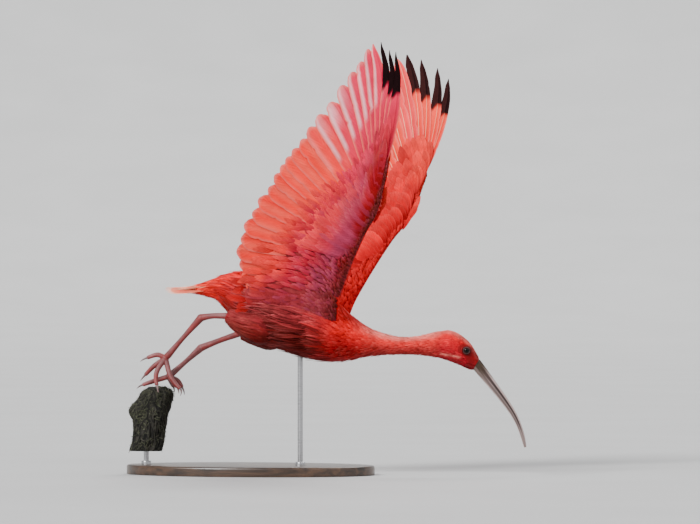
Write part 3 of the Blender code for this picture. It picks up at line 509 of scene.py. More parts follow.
PLUME = Template((0.0, 0.2, 0.4, 0.6, 0.8, 0.92, 1.0), PLUME_OUTLINE,
                 (-1.0, 0.0, 1.0), (0.0, 0.5, 0.0))
TINY = Template((0.0, 0.35, 0.75, 1.0), PLUME_OUTLINE, (-1.0, 0.0, 1.0), (0.0, 0.45, 0.0))


class Feathers:
    """Feathers of one kind laid on a surface, as arrays with one row for each feather."""

    def __init__(self, surface, template, roots, along, across, length, half_width, seed):
        self.surface, self.template = surface, template
        self.s, self.c = template.s[None, :, None], template.across[None, None, :]
        self.roots, self.along, self.across = roots, along, across
        count = len(roots)
        self.count = count
        self.draw = np.random.default_rng(seed)
        self.length = np.broadcast_to(np.asarray(length, float), count)[:, None]
        self.half_width = np.broadcast_to(np.asarray(half_width, float), count)[:, None]
        self.lift = np.zeros((count, len(template.s)))
        self.roll = np.zeros((count, 1))
        self.bow = np.zeros((count, 1))
        self.thick = 1.0
        self.cup = 0.06
        self.ragged = 0.0
        self.lower = 1.0
        self.width = template.width
        self.hook = np.zeros((count, 1))

    def shape(self):
        """Points of all the feathers: feathers, stations, ring places, x y z."""
        form = self.template
        s, c = form.s, form.across
        width = self.half_width * self.width
        left = right = width
        if self.ragged:
            left, right = width * self.notches(), width * self.notches()
        reach = np.where(c > 0, right[..., None], left[..., None]) * c
        shift = self.bow * self.length * 4 * s * (1 - s) - self.hook * smooth(0.8, 1.0, s)
        sideways = reach + shift[..., None]
        forward = self.length[..., None] * s[:, None] - 0.25 * np.abs(reach) * s[:, None] ** 2
        z = (self.lift[..., None] + self.roll[..., None] * reach
             + self.thick * form.rise * form.taper[:, None]
             - self.cup * np.abs(reach) ** 1.5 * self.lower)
        p, q = (self.roots[:, n, None, None] + self.along[:, n, None, None] * forward
                + self.across[:, n, None, None] * sideways for n in (0, 1))
        self.sideways, self.forward = np.broadcast_arrays(reach, forward)
        self.points = self.surface(p, q, z)
        return self.points

    def notches(self):
        """Splits in the edge of each vane, as factors on its half width."""
        s = self.template.s
        factor = np.ones((self.count, len(s)))
        for _ in range(3):
            place = self.draw.uniform(0.3, 0.97, (self.count, 1))
            depth = self.ragged * self.draw.uniform(0.2, 1.0, (self.count, 1)) ** 2
            spread = self.draw.uniform(0.008, 0.022, (self.count, 1))
            factor *= 1 - depth * np.exp(-((s - place) / spread) ** 2)
        return factor

    def polygons(self, offset):
        """The faces of all the feathers, with each feather turned to face outward."""
        stations, ring = len(self.template.s), len(self.template.across)
        i, k = np.meshgrid(np.arange(stations - 1), np.arange(ring), indexing="ij")
        after = (k + 1) % ring
        quads = np.stack([i * ring + k, i * ring + after, (i + 1) * ring + after,
                          (i + 1) * ring + k], axis=-1).reshape(-1, 4)
        caps = np.stack([np.arange(ring)[::-1], (stations - 1) * ring + np.arange(ring)])
        flat = self.points.reshape(self.count, -1, 3)
        centred = flat - flat.mean(axis=1, keepdims=True)
        a, b, c, d = (centred[:, quads[:, n]] for n in range(4))
        volume = (np.einsum("nfi,nfi->n", a, np.cross(b, c))
                  + np.einsum("nfi,nfi->n", a, np.cross(c, d)))
        base = offset + np.arange(self.count)[:, None, None] * stations * ring
        sides, ends = quads + base, caps + base
        inward = volume < 0
        sides[inward] = sides[inward][..., ::-1]
        ends[inward] = ends[inward][..., ::-1]
        return sides.reshape(-1, 4), ends.reshape(-1, ring)


BAKE_PATCH = 0.003


def feather_piece(colors, name, groups, finish, slot, *nodes):
    """One mesh of groups, each of feathers, a function that tints them, and their unwrap.

    The map OFBake holds a small patch for each feather at its root's place on the surface's own
    unwrap, and the map UVMap runs along and across each feather in centimetres.
    """
    points, tints, maps, bakes, polygons = [], [], [], [], []
    offset = 0
    for feathers, tint, unwrap in groups:
        shape = feathers.shape()
        color = np.broadcast_to(tint(feathers, colors), shape.shape)
        polygons += feathers.polygons(offset)
        offset += shape[..., 0].size
        points.append(shape.reshape(-1, 3))
        tints.append(color.reshape(-1, 3))
        maps.append(np.stack([feathers.sideways, feathers.forward], axis=-1).reshape(-1, 2) / 10)
        share = feathers.forward / feathers.length[..., None]
        spread = feathers.sideways / np.maximum(feathers.half_width[..., None], 0.1)
        spots, (wide, tall) = unwrap(feathers)
        spots = spots[:, None, None] + np.stack([spread * wide, share * tall], axis=-1)
        bakes.append(spots.reshape(-1, 2))
    mesh = bpy.data.meshes.new(name)
    set_mesh(mesh, np.concatenate(points), polygons)
    set_uv(mesh, "UVMap", np.concatenate(maps))
    set_uv(mesh, "OFBake", np.clip(np.concatenate(bakes), 0.001, 0.999))
    set_tint(mesh, np.concatenate(tints))
    mesh.shade_smooth()
    mesh.set_sharp_from_angle(angle=math.radians(48))
    link(name, mesh, bpy.data.materials[finish], slot, *nodes)


def tuft_unwrap(low, high):
    """An unwrap of a surface's own two directions, with a small patch for each feather."""
    low, high = np.asarray(low, float), np.asarray(high, float)

    def unwrap(feathers):
        spots = 0.01 + 0.97 * (feathers.roots - low) / (high - low)
        return spots, (BAKE_PATCH / 2, BAKE_PATCH)

    return unwrap


def strip_unwrap(first, total):
    """A strip of its own for each large feather, side by side over the whole map."""
    def unwrap(feathers):
        places = (first + np.arange(feathers.count) + 0.5) / total
        return (np.stack([places, np.full(feathers.count, 0.02)], axis=-1),
                (0.42 / total, 0.95))

    return unwrap


WING_UNWRAP = tuft_unwrap((-60, -40), (290, 420))


def steps_on(surface, p, q, direction):
    """Changes of p and q for a millimetre along a direction on a surface, and across it."""
    step_p, step_q = 0.01, 0.01
    by_p = (surface(p + step_p, q) - surface(p - step_p, q)) / (2 * step_p)
    by_q = (surface(p, q + step_q) - surface(p, q - step_q)) / (2 * step_q)
    normal = unit(surface(p, q, np.ones_like(p)) - surface(p, q, np.zeros_like(p)))
    forward = unit(direction - normal * np.sum(direction * normal, axis=-1, keepdims=True))
    aside = np.cross(normal, forward)
    pp, qq, pq = (np.sum(a * b, axis=-1) for a, b in ((by_p, by_p), (by_q, by_q), (by_p, by_q)))
    scale = np.maximum(pp * qq - pq * pq, 1e-9)
    found = []
    for vector in (forward, aside):
        vp, vq = np.sum(by_p * vector, axis=-1), np.sum(by_q * vector, axis=-1)
        found.append(np.stack([(vp * qq - vq * pq) / scale, (vq * pp - vp * pq) / scale], axis=-1))
    return found


class Palette:
    """The named colours of the plumage and hard parts, from the scene's settings."""

    def __init__(self, scene):
        for group in (scene.ibis_plumage, scene.ibis_hard_parts):
            for key in group.bl_rna.properties.keys():
                value = getattr(group, key)
                if hasattr(value, "__len__") and len(value) == 3:
                    setattr(self, key, np.array(value[:]))


def varied(feathers, color, amount=0.12):
    """Colours made a little lighter or darker from feather to feather."""
    factor = 1 + amount * feathers.draw.normal(size=(feathers.count, 1, 1, 1))
    return color * np.clip(factor, 0.6, 1.5)


def body_tint(colors, t, angle):
    """The plumage's colour on the body at station t and an angle, with painted shade and highlight.
    """
    rise = np.sin(angle)
    top = smooth(0.25, 0.95, rise)
    low = smooth(-0.30, 0.42, -rise)
    flank = smooth(3.0, 5.8, t) * (1 - smooth(8.4, 9.9, t)) * (1 - top)
    color = mix(colors.scarlet, colors.mauve, 0.92 * flank)
    # Painted shade: the underside darkens to the belly colour on the belly and to crimson under the
    # breast.
    color = mix(color, colors.belly, 0.95 * low * smooth(2.5, 4.2, t) * (1 - smooth(8.6, 10.2, t)))
    color = mix(color, colors.crimson, 0.85 * low * smooth(8.4, 10.0, t))
    neck = smooth(10.3, 12.5, t) * (1 - smooth(15.2, 16.4, t))
    crown = smooth(15.2, 16.4, t)
    # Painted highlight: the top of the neck and the crown turn pale rose; the little rose all round
    # the neck is its own colour.
    color = mix(color, colors.rose, neck * (0.10 + 0.85 * top))
    color = mix(color, colors.rose, crown * 0.75 * smooth(0.62, 1.0, rise))
    points = body_surface(t, angle)
    # Painted shade under the throat, in the belly colour.
    throat = crown * smooth(0.30, 0.75, -rise)
    color = mix(color, colors.belly, 0.75 * throat)
    cheek = smooth(17.0, 19.2, t) * smooth(0.75, 0.2, rise)
    color = mix(color, colors.crimson, 0.6 * cheek)
    color = mix(color, colors.magenta, 0.35 * crown * (1 - top))
    streak = np.exp(-(line_distance(points, MOUSTACHE) / 1.7) ** 2) * crown
    color = mix(color, colors.rose, 0.8 * streak)
    mottle = smooth(0.1, 0.9, ripple(points, 7.0, 41)) * smooth(16.5, 17.5, t)
    color = mix(color, colors.face, 0.5 * mottle)
    rump = 1 - smooth(1.0, 4.2, t)
    return mix(color, colors.ember, 0.85 * rump * (1 - 0.6 * low))


def node(tree, kind, inputs=None, **settings):
    """Add a node, set its properties, and set or link its inputs."""
    made = tree.nodes.new(kind)
    for key, value in settings.items():
        setattr(made, key, value)
    for key, value in (inputs or {}).items():
        if isinstance(value, bpy.types.NodeSocket):
            tree.links.new(value, made.inputs[key])
        else:
            made.inputs[key].default_value = value
    return made


def math_node(tree, operation, *values):
    """The output of a math node."""
    made = node(tree, "ShaderNodeMath", dict(enumerate(values)), operation=operation)
    return made.outputs[0]


def stretched(tree, value, low, high):
    """A number from 0.3 to 0.7 spread over low to high."""
    made = node(tree, "ShaderNodeMapRange", {"Value": value, "From Min": 0.3, "From Max": 0.7,
                                             "To Min": low, "To Max": high})
    return made.outputs[0]


def object_place(tree):
    """Object coordinates."""
    return node(tree, "ShaderNodeTexCoord").outputs["Object"]


def drawn_place(tree, scale):
    """Object coordinates multiplied along each axis."""
    return node(tree, "ShaderNodeMapping",
                {"Vector": object_place(tree), "Scale": scale}).outputs[0]


def uv_parts(tree):
    """The two numbers of a piece's own map."""
    place = node(tree, "ShaderNodeUVMap", uv_map="UVMap").outputs[0]
    return node(tree, "ShaderNodeSeparateXYZ", {0: place}).outputs[:2]


def scaled_place(tree, *pairs):
    """A place from numbers, each multiplied by its scale."""
    inputs = {n: math_node(tree, "MULTIPLY", *pair) for n, pair in enumerate(pairs)}
    return node(tree, "ShaderNodeCombineXYZ", inputs).outputs[0]


def noise(tree, scale, detail=2.0, place=None):
    """A noise pattern, over object coordinates unless a place is given."""
    return node(tree, "ShaderNodeTexNoise", {"Vector": place or object_place(tree), "Scale": scale,
                                             "Detail": detail}).outputs[0]


def paint(tree, shader, value, color=None):
    """Colour a shader by its piece's tint, or by a colour, with the brightness multiplied."""
    color = color or node(tree, "ShaderNodeAttribute", attribute_name="tint").outputs["Color"]
    made = node(tree, "ShaderNodeHueSaturation", {"Color": color, "Value": value})
    tree.links.new(made.outputs["Color"], shader.inputs["Base Color"])


def new_material(name, roughness, **sockets):
    """A Principled material with its plain sockets set."""
    material = bpy.data.materials.new(name)
    material.use_nodes = True
    tree = material.node_tree
    shader = tree.nodes["Principled BSDF"]
    shader.inputs["Roughness"].default_value = roughness
    for key, value in sockets.items():
        shader.inputs[key.replace("_", " ")].default_value = value
    return material, tree, shader


def bump(tree, shader, height, distance, strength=1.0):
    """Relief from a height, in millimetres."""
    made = node(tree, "ShaderNodeBump", {"Height": height, "Distance": distance * MM,
                                         "Strength": strength})
    tree.links.new(made.outputs["Normal"], shader.inputs["Normal"])


def feather_material(name, streak, depth, roughness, **sockets):
    """Barbs that run out from the shaft at a steep slant, in colour and in relief."""
    _, tree, shader = new_material(name, roughness, **sockets)
    across, along = uv_parts(tree)
    out = math_node(tree, "ABSOLUTE", across)
    barb = math_node(tree, "SUBTRACT", along, math_node(tree, "MULTIPLY", out, 2.3))
    place = scaled_place(tree, (barb, streak), (out, 0.9))
    broad, fine = noise(tree, 1.0, 3.0, place), noise(tree, 4.0, 2.0, place)
    value = 1.0
    for pattern, reach in ((broad, depth), (noise(tree, 55.0, 4.0), 0.7 * depth),
                           (fine, 0.5 * depth)):
        value = math_node(tree, "MULTIPLY", value, stretched(tree, pattern, 1 - reach, 1 + reach))
    paint(tree, shader, value)
    bump(tree, shader, math_node(tree, "ADD", fine, broad), 0.16)


def make_materials():
    """Every finish of the plumage, made once and found by name."""
    soft = {"Specular_IOR_Level": 0.16, "Specular_Tint": (1.0, 0.22, 0.18, 1.0),
            "Sheen_Weight": 0.04, "Sheen_Roughness": 0.4, "Sheen_Tint": (1.0, 0.25, 0.20, 1.0)}
    feather_material("vane_barbs", 5.0, 0.13, 0.5, **soft)
    feather_material("covert_barbs", 6.0, 0.24, 0.55, **soft)
    feather_material("down_barbs", 7.0, 0.30, 0.65, **soft)
    feather_material("moss_fibre", 9.0, 0.35, 0.9, Specular_IOR_Level=0.2)


def skin_material():
    """Bare skin: the plumage's colours with fine pores and creases."""
    material, tree, shader = new_material("bare_skin", 0.5, Specular_IOR_Level=0.25,
                                          Specular_Tint=(1.0, 0.3, 0.25, 1.0))
    pores = node(tree, "ShaderNodeTexVoronoi",
                 {"Vector": object_place(tree), "Scale": 900.0}).outputs[0]
    blotch = noise(tree, 160.0, 4.0)
    paint(tree, shader, stretched(tree, blotch, 0.8, 1.2))
    bump(tree, shader, math_node(tree, "ADD", pores, blotch), 0.25)
    return material


def eye_distance(points):
    """Distance in the side view from the middle of the eye."""
    return np.linalg.norm(points[..., [0, 2]] - (EYE[0], EYE[2]), axis=-1)


def line_distance(points, line):
    """Distance in the side view from points to a run of straight lines."""
    spots = points[..., [0, 2]]
    best = np.full(spots.shape[:-1], 1e9)
    for start, end in zip(np.array(line)[:-1], np.array(line)[1:]):
        run = end - start
        share = np.clip((spots - start) @ run / run.dot(run), 0, 1)
        best = np.minimum(best, np.linalg.norm(spots - start - share[..., None] * run, axis=-1))
    return best


def head_relief(points):
    """How far the head's skin stands out at its lids, folds, mouth line and lores."""
    outside = smooth(3.0, 6.0, np.abs(points[..., 1]))
    eye = eye_distance(points)
    relief = -3.4 * np.clip(1 - (eye / 5.2) ** 2, 0, 1)
    relief += 0.55 * np.exp(-((eye - 6.6) / 0.9) ** 2) - 0.3 * np.exp(-((eye - 8.3) / 0.7) ** 2)
    relief += 0.22 * np.exp(-((eye - 9.7) / 0.8) ** 2)
    mouth = line_distance(points, GAPE)
    relief += 0.35 * np.exp(-((mouth - 1.5) / 0.7) ** 2) - 0.8 * np.exp(-(mouth / 0.75) ** 2)
    bare = 1 - smooth(6.5, 9.5, line_distance(points, FACE_LINE))
    relief += bare * (0.12 * ripple(points, 3.2, 5) + 0.07 * ripple(points, 1.6, 6))
    return relief * outside


def build_skin(colors):
    """One skin over the whole bird: body, arms and thighs fused, with the head's folds."""
    t = np.concatenate([np.linspace(0, 11, 70), np.linspace(11.1, 15.5, 44),
                        np.linspace(15.55, BODY_LAST, 104)])
    t, turn = np.meshgrid(t, np.arange(112) * TAU / 112, indexing="ij")
    lift = -np.interp(t, COAT_STATIONS, COAT_DEPTHS)
    relief = head_relief(body_surface(t, turn, lift)) * smooth(15.8, 16.6, t)
    skin = bmesh_to_mesh("skin", closed_loft(body_surface(t, turn, lift + relief)))
    chord = 0.5 - 0.5 * np.cos(np.linspace(0, np.pi, 13))
    u, c = np.meshgrid(np.linspace(0, len(ARM) - 1, 60), np.append(chord, chord[-2:0:-1]),
                       indexing="ij")
    spots, half = arm_section(u, c)
    half = np.repeat((1.0, -1.0), (len(chord), len(chord) - 2)) * np.maximum(half - 0.8, 0.1)
    v, around = np.meshgrid(np.linspace(0, 2, 40), np.arange(40) * TAU / 40, indexing="ij")
    group = bpy.data.collections.new("skin_parts")
    for name in SIDES:
        thigh = limb_surface(LEGS[name]["thigh"], THIGH_RADII)
        for rings in (wing_surface(name)(spots[..., 0], spots[..., 1], half),
                      thigh(v, around, np.full(v.shape, -1.4))):
            part = bmesh_to_mesh("skin_part", closed_loft(rings))
            group.objects.link(bpy.data.objects.new("skin_part", part))
    bpy.context.scene.collection.children.link(group)
    skin = applied(skin, "skin", "BOOLEAN", operation="UNION", operand_type="COLLECTION",
                   collection=group, solver="EXACT")
    for obj in list(group.objects):
        mesh = obj.data
        bpy.data.objects.remove(obj)
        bpy.data.meshes.remove(mesh)
    bpy.data.collections.remove(group)
    points = mesh_points(skin)
    middle = (BODY[:, 0] + BODY[:, 2]) / 2
    station = np.interp(points[:, 0], middle, np.arange(len(BODY)))
    row = spline(BODY, station)
    angle = np.arctan2((points[:, 2] - (row[:, 1] + row[:, 3]) / 2) * 2
                       / np.maximum(row[:, 1] - row[:, 3], 1), np.abs(points[:, 1]) / row[:, 4])
    color = body_tint(colors, station, angle)
    # Painted shade at the wing's root: the arm's skin takes a darkened scarlet on its inner faces
    # and mauve on its outer ones.
    arm = smooth(262, 272, points[:, 2]) * smooth(44, 50, np.abs(points[:, 1]))
    outer = smooth(-0.2, 0.2, vertex_rows(skin, "normal")[:, 1] * np.sign(points[:, 1]))
    color = mix(color, mix(colors.scarlet * 0.75, colors.mauve, outer), 0.9 * arm)
    head = points[:, 0] > HEAD_START
    face = 1 - smooth(7.0, 10.0, line_distance(points, FACE_LINE))
    color = mix(color, colors.face, 0.85 * head * face)
    # Painted shade: a dark ring of skin at the eye's rim, a darkened copy of the face colour, in
    # the socket's crease.
    rim = np.exp(-((eye_distance(points) - EYE_RADIUS) / 1.6) ** 2)
    color = mix(color, colors.face * 0.35, 0.7 * rim * head)
    # Painted shade: a dark line in the mouth's groove.
    mouth = np.exp(-(line_distance(points, GAPE) / 0.9) ** 2)
    color = mix(color, colors.crimson * 0.4, 0.8 * mouth * head)
    set_tint(skin, color)
    skin.shade_smooth()
    link("skin", skin, skin_material(), "rose_plumage", "head", "neck", "torso", "tail",
         "thigh_right", "thigh_left")


def build_eyes(colors):
    """Each eye: a dark glossy ball with a brown iris, and lids that close over its rim."""
    material, tree, shader = new_material("eye_gloss", 0.05, Specular_IOR_Level=0.12)
    flecks = noise(tree, 1400.0)
    paint(tree, shader, stretched(tree, flecks, 0.7, 1.3))
    lid_finish, lid_tree, lid_shader = new_material("lid_skin", 0.5, Specular_IOR_Level=0.25)
    crease = noise(lid_tree, 700.0, 3.0)
    paint(lid_tree, lid_shader, stretched(lid_tree, crease, 0.75, 1.25))
    bump(lid_tree, lid_shader, crease, 0.2)
    for name, side in SIDES.items():
        centre = np.array((EYE[0], side * EYE[1], EYE[2]))
        outward = unit(np.array((0.22, side, 0.08)))
        bm = bmesh.new()
        bmesh.ops.create_uvsphere(bm, u_segments=48, v_segments=32, radius=EYE_RADIUS)
        turn = Vector(outward).to_track_quat("Z", "Y").to_matrix()
        bmesh.ops.rotate(bm, matrix=turn, verts=bm.verts)
        bmesh.ops.translate(bm, vec=centre, verts=bm.verts)
        mesh = bmesh_to_mesh("eye_" + name + "_ball", bm)
        facing = unit(mesh_points(mesh) - centre) @ outward
        iris = mix(colors.iris, colors.iris * 0.25, smooth(0.80, 0.66, facing))
        set_tint(mesh, mix(iris, np.full(3, 0.002), smooth(0.86, 0.885, facing)))
        link("eyeball_" + name, mesh, material, "eye_dark", "eye_" + name)
        front = unit(np.cross(outward, (0.0, 0.0, 1.0)))
        up = np.cross(front, outward)
        bm = None
        for sense, thick, close in ((1.0, 1.0, 0.76), (-1.0, 0.8, 0.88)):
            swing = np.linspace(-0.12, np.pi + 0.12, 15)[:, None]
            path = (centre + outward * 3.0 + front * np.cos(swing) * 4.4
                    + up * sense * np.sin(swing) * 4.4 * close)
            edge = unit(path - centre) * (EYE_RADIUS + 0.35)
            radii = np.array((0.5, 1.0, 1.0, 1.0, 0.5)) * thick
            rings = sweep(centre + edge, radii, 48, 14, 0.8)
            bm = closed_loft(rings, bm)
        lids = bmesh_to_mesh("lids", bm)
        # Painted shade: the lower lid takes a darker copy of the lid colour than the upper.
        shade = smooth(-6, 6, (mesh_points(lids) - centre) @ up)
        set_tint(lids, mix(colors.lid * 0.7, colors.lid, shade))
        link("eyelids_" + name, lids, lid_finish, "rose_plumage")


def bill_frames(t):
    """Centres, up directions, half depths and half widths of the bill at shares of its length."""
    place = t * (len(BILL_LINE) - 1)
    run = spline(BILL_LINE, place + 0.02) - spline(BILL_LINE, place - 0.02)
    along = unit(np.stack([run[..., 0], 0 * run[..., 0], run[..., 1]], axis=-1))
    up = np.cross(along, (0.0, 1.0, 0.0))
    base = unit(np.array((BODY[-1][0] - BODY[-1][2], 0.0, BODY[-1][1] - BODY[-1][3])))
    share = np.minimum(1.0, t / BILL_BASE_SHARE)[..., None]
    up = unit(base * (1 - share) + up * share)
    spot = spline(BILL_LINE, place)
    centre = np.stack([spot[..., 0], 0 * spot[..., 0], spot[..., 1]], axis=-1)
    return centre, up, spline(BILL_DEPTH, place) / 2, spline(BILL_HALF_WIDTH, place)


def build_bill(colors):
    """The two halves of the bill, with their side grooves, cutting edges and slit nostrils."""
    material, tree, shader = new_material("bill_keratin", 0.42, Specular_IOR_Level=0.25,
                                          Coat_Weight=0.05, Coat_Roughness=0.3)
    height, share = uv_parts(tree)
    place = scaled_place(tree, (height, 9.0), (share, 0.8))
    grain = noise(tree, 2.0, 5.0, place)
    paint(tree, shader, stretched(tree, grain, 0.72, 1.22))
    bump(tree, shader, grain, 0.22)
    t, k = np.meshgrid(np.linspace(0, 1, 150), np.linspace(0, np.pi, 31), indexing="ij")
    centre, up, half_depth, half_width = bill_frames(t)
    for name, sign in (("upper", 1.0), ("lower", -1.0)):
        line = (MOUTH_HEIGHT * 2 - 1) * half_depth
        reach = half_depth - sign * line - MOUTH_GAP / 2
        rise = np.sin(k)
        groove = np.exp(-((rise - 0.52) / 0.13) ** 2) * smooth(0.99, 0.7, t) * smooth(0.0, 0.03, t)
        nostril = (np.exp(-((rise - 0.56) / 0.1) ** 2)
                   * np.exp(-((t - NOSTRIL_PLACE) / 0.022) ** 4)) * (sign > 0)
        lip = 0.06 * np.exp(-(rise / 0.12) ** 2)
        inset = 1 - 0.085 * groove - 0.2 * nostril + lip * (t < 0.97)
        rim = centre + up * (line + sign * MOUTH_GAP / 2)[..., None]
        across = half_width * np.cos(k) * inset
        rings = rim + up * (sign * reach * rise ** 0.8)[..., None]
        rings[..., 1] += across
        roof = 0.25 * half_width * smooth(0.05, 0.2, t) * np.exp(-((rise - 1) / 0.25) ** 2)
        rings += up * (sign * 0.12 * roof)[..., None]
        under = rim[:, ::-1] + up * (sign * 0.25 * np.sin(k))[..., None]
        under[..., 1] -= half_width * np.cos(k) * 0.97
        full = np.concatenate([rings, under[:, 4:-4:4]], axis=1)
        mesh = bmesh_to_mesh("bill_" + name, closed_loft(full), 50.0)
        points = mesh_points(mesh)
        share, height = bill_places(points, full, t[:, 0])
        dark = (np.exp(-((height - 0.40) / 0.17) ** 2) * smooth(1.0, 0.75, share)
                * smooth(0.10, 0.24, share))
        color = mix(colors.bill, colors.bill_pale, smooth(0.58, 0.80, height) * 0.95)
        color = mix(color, colors.bill_pale, smooth(0.16, 0.04, height) * 0.5)
        color = mix(color, colors.bill_dark, 0.95 * dark)
        color = mix(color, colors.bill_base, (1 - smooth(0.04, 0.20, share)) * 0.95)
        color = mix(color, colors.bill_pale, 0.35 * smooth(0.60, 0.85, share))
        if sign < 0:
            color = mix(color, colors.bill_pale, 0.25)
        set_tint(mesh, color)
        set_uv(mesh, "UVMap", np.stack([height, share * 16], axis=-1))
        link("bill_horn_" + name, mesh, material, "bill_horn", "bill_" + name)


def bill_places(points, rings, shares):
    """The share along the bill and the height up its side of each point."""
    centres = rings.mean(axis=1)
    distance = np.linalg.norm(points[:, None] - centres[None], axis=-1)
    nearest = distance.argmin(axis=1)
    share = shares[nearest]
    centre, up, half_depth, _ = bill_frames(share)
    height = np.abs(np.sum((points - centre) * up, axis=-1) / half_depth)
    return share, np.clip(height, 0, 1)


def build_legs(colors):
    """Each leg in one skin: shank, ankle, tarsus with its scutes, and padded toes."""
    material, tree, shader = new_material("leg_scales", 0.5, Specular_IOR_Level=0.45,
                                          Subsurface_Weight=0.05, Subsurface_Scale=0.002)
    scales = node(tree, "ShaderNodeTexVoronoi", {"Vector": object_place(tree), "Scale": 520.0},
                  feature="DISTANCE_TO_EDGE").outputs[0]
    blotch = noise(tree, 110.0, 4.0)
    edges = node(tree, "ShaderNodeMapRange", {"Value": scales, "From Max": 0.25,
                                              "To Min": 0.72, "To Max": 1.05}).outputs[0]
    value = math_node(tree, "MULTIPLY", edges, stretched(tree, blotch, 0.78, 1.2))
    paint(tree, shader, value)
    bump(tree, shader, edges, 0.4)
    claw_finish, claw_tree, claw_shader = new_material("claw_keratin", 0.35)
    streaks = noise(claw_tree, 420.0, 4.0)
    paint(claw_tree, claw_shader, stretched(claw_tree, streaks, 0.6, 1.4))
    bump(claw_tree, claw_shader, streaks, 0.2)
    for name, leg in LEGS.items():
        joint = np.array(leg["tarsus"][-1], float)
        down = unit(joint - np.array(leg["tarsus"][-2], float))
        middle = joint + down * 4.0
        runs = [(leg["shank"], SHANK_RADII, 60, 28), (leg["tarsus"], TARSUS_RADII, 60, 28)]
        for points in leg["toes"].values():
            runs.append(([tuple(middle)] + points, TOE_RADII, 44, 22))
        bm = None
        for path, radii, steps, sides in runs:
            bm = closed_loft(sweep(path, radii, steps, sides), bm)
        for centre, radius in ((np.array(leg["tarsus"][0], float), 5.9), (middle, 5.2)):
            found = bmesh.ops.create_uvsphere(bm, u_segments=24, v_segments=16, radius=radius)
            bmesh.ops.translate(bm, vec=centre, verts=found["verts"])
        mesh = bmesh_to_mesh("leg_" + name, bm)
        mesh = applied(mesh, "leg_" + name, "REMESH", mode="VOXEL", voxel_size=LEG_VOXEL * MM)
        mesh = applied(mesh, "leg_" + name, "SMOOTH", factor=0.5, iterations=4)
        points = mesh_points(mesh)
        normals = vertex_rows(mesh, "normal")
        relief, low = scute_relief(points, leg)
        mesh.vertices.foreach_set("co", ((points + normals * relief[:, None]) * MM)
                                  .astype(np.float32).ravel())
        mesh.update()
        color = mix(colors.leg, colors.leg_dark, 0.35 + 0.25 * ripple(points, 26, 3))
        # Painted shade: the hollows between the scutes darken to the leg shade colour.
        color = mix(color, colors.leg_dark, 0.5 * low)
        # Painted light: faces that turn down go red and the upper faces stay pale grey-mauve, a
        # painted sheen on top; the ripple adds real red patches.
        under = smooth(0.3, -0.7, normals[:, 2]) + 0.6 * smooth(0.0, 0.8, ripple(points, 40, 9))
        color = mix(color, colors.leg_red, 0.7 * np.clip(under, 0, 1))
        set_tint(mesh, color)
        mesh.shade_smooth()
        nodes = [part + "_" + name for part in ("shank", "tarsus", "foot")]
        link("leg_" + name, mesh, material, "leg_skin", *nodes)
        bm = None
        for toe, points in leg["toes"].items():
            tip, before = np.array(points[-1], float), np.array(points[-2], float)
            ahead = unit(tip - before)
            bend = np.array(leg["claw_turn"][toe], float)
            path = [tip - ahead * 1.5, tip + ahead * 2.0, tip + ahead * 4.0 + bend * 0.35,
                    tip + ahead * 2.8 + bend]
            bm = closed_loft(sweep(path, CLAW_RADII, 20, 16, 0.82), bm)
        claws = bmesh_to_mesh("claws_" + name, bm)
        tip_share = smooth(0, 1, ripple(mesh_points(claws), 9, 4) * 0.5 + 0.5)
        set_tint(claws, mix(colors.claw, colors.claw * 2.2, 0.4 * tip_share))
        link("claws_" + name, claws, claw_finish, "claw_horn",
             *["claw_" + name + "_" + toe for toe in leg["toes"]])


def scute_relief(points, leg):
    """Raised scutes along the front of the tarsus and toes, and how hollow each point is."""
    relief = np.zeros(len(points))
    hollow = np.zeros(len(points))
    runs = [leg["tarsus"], leg["shank"],
            *([leg["tarsus"][-1]] + toe for toe in leg["toes"].values())]
    best = np.full(len(points), 1e9)
    for path in runs:
        path = np.array(path, float)
        spots = spline(path, np.linspace(0, len(path) - 1, 160))
        run = np.concatenate([[0], np.cumsum(np.linalg.norm(np.diff(spots, axis=0), axis=1))])
        distance = np.linalg.norm(points[:, None] - spots[None], axis=-1)
        nearest = distance.argmin(axis=1)
        close = distance.min(axis=1) < best
        best = np.minimum(best, distance.min(axis=1))
        wave = np.abs(np.sin(run[nearest] * math.pi / 3.1))
        relief = np.where(close, 0.22 * wave ** 0.6 - 0.1, relief)
        hollow = np.where(close, (1 - wave) ** 3, hollow)
    return relief, hollow


def flight_axes(name):
    """Roots and tips of one wing's flight feathers, in x and h."""
    place = np.arange(FLIGHT_COUNT) / 3
    roots, tips = spline(FLIGHT_ROOTS, place), spline(FLIGHT_TIPS[name], place)
    draw = np.random.default_rng(SEED + int(SIDES[name]))
    return roots, roots + (tips - roots) * draw.uniform(0.985, 1.015, (FLIGHT_COUNT, 1))


def least_spacing(roots, tips, s):
    """The distance of each feather from its nearest neighbour, at shares of its length."""
    axes = roots[:, None] + (tips - roots)[:, None] * s[:, None]
    across = unit((tips - roots)[:, ::-1] * (1, -1))[:, None]
    apart = np.abs(np.sum(np.diff(axes, axis=0) * across[1:], axis=-1))
    near = np.minimum(np.concatenate([apart[:1], apart]), np.concatenate([apart, apart[-1:]]))
    return np.maximum(near, 6.0)


def wing_group(surface, template, roots, tips, half_width, seed):
    """Feathers from roots to tips on a wing, with their across direction to the leading side."""
    run = tips - roots
    length = np.linalg.norm(run, axis=1)
    along = run / length[:, None]
    across = along[:, ::-1] * (1, -1)
    return Feathers(surface, template, roots, along, across, length, half_width, seed)


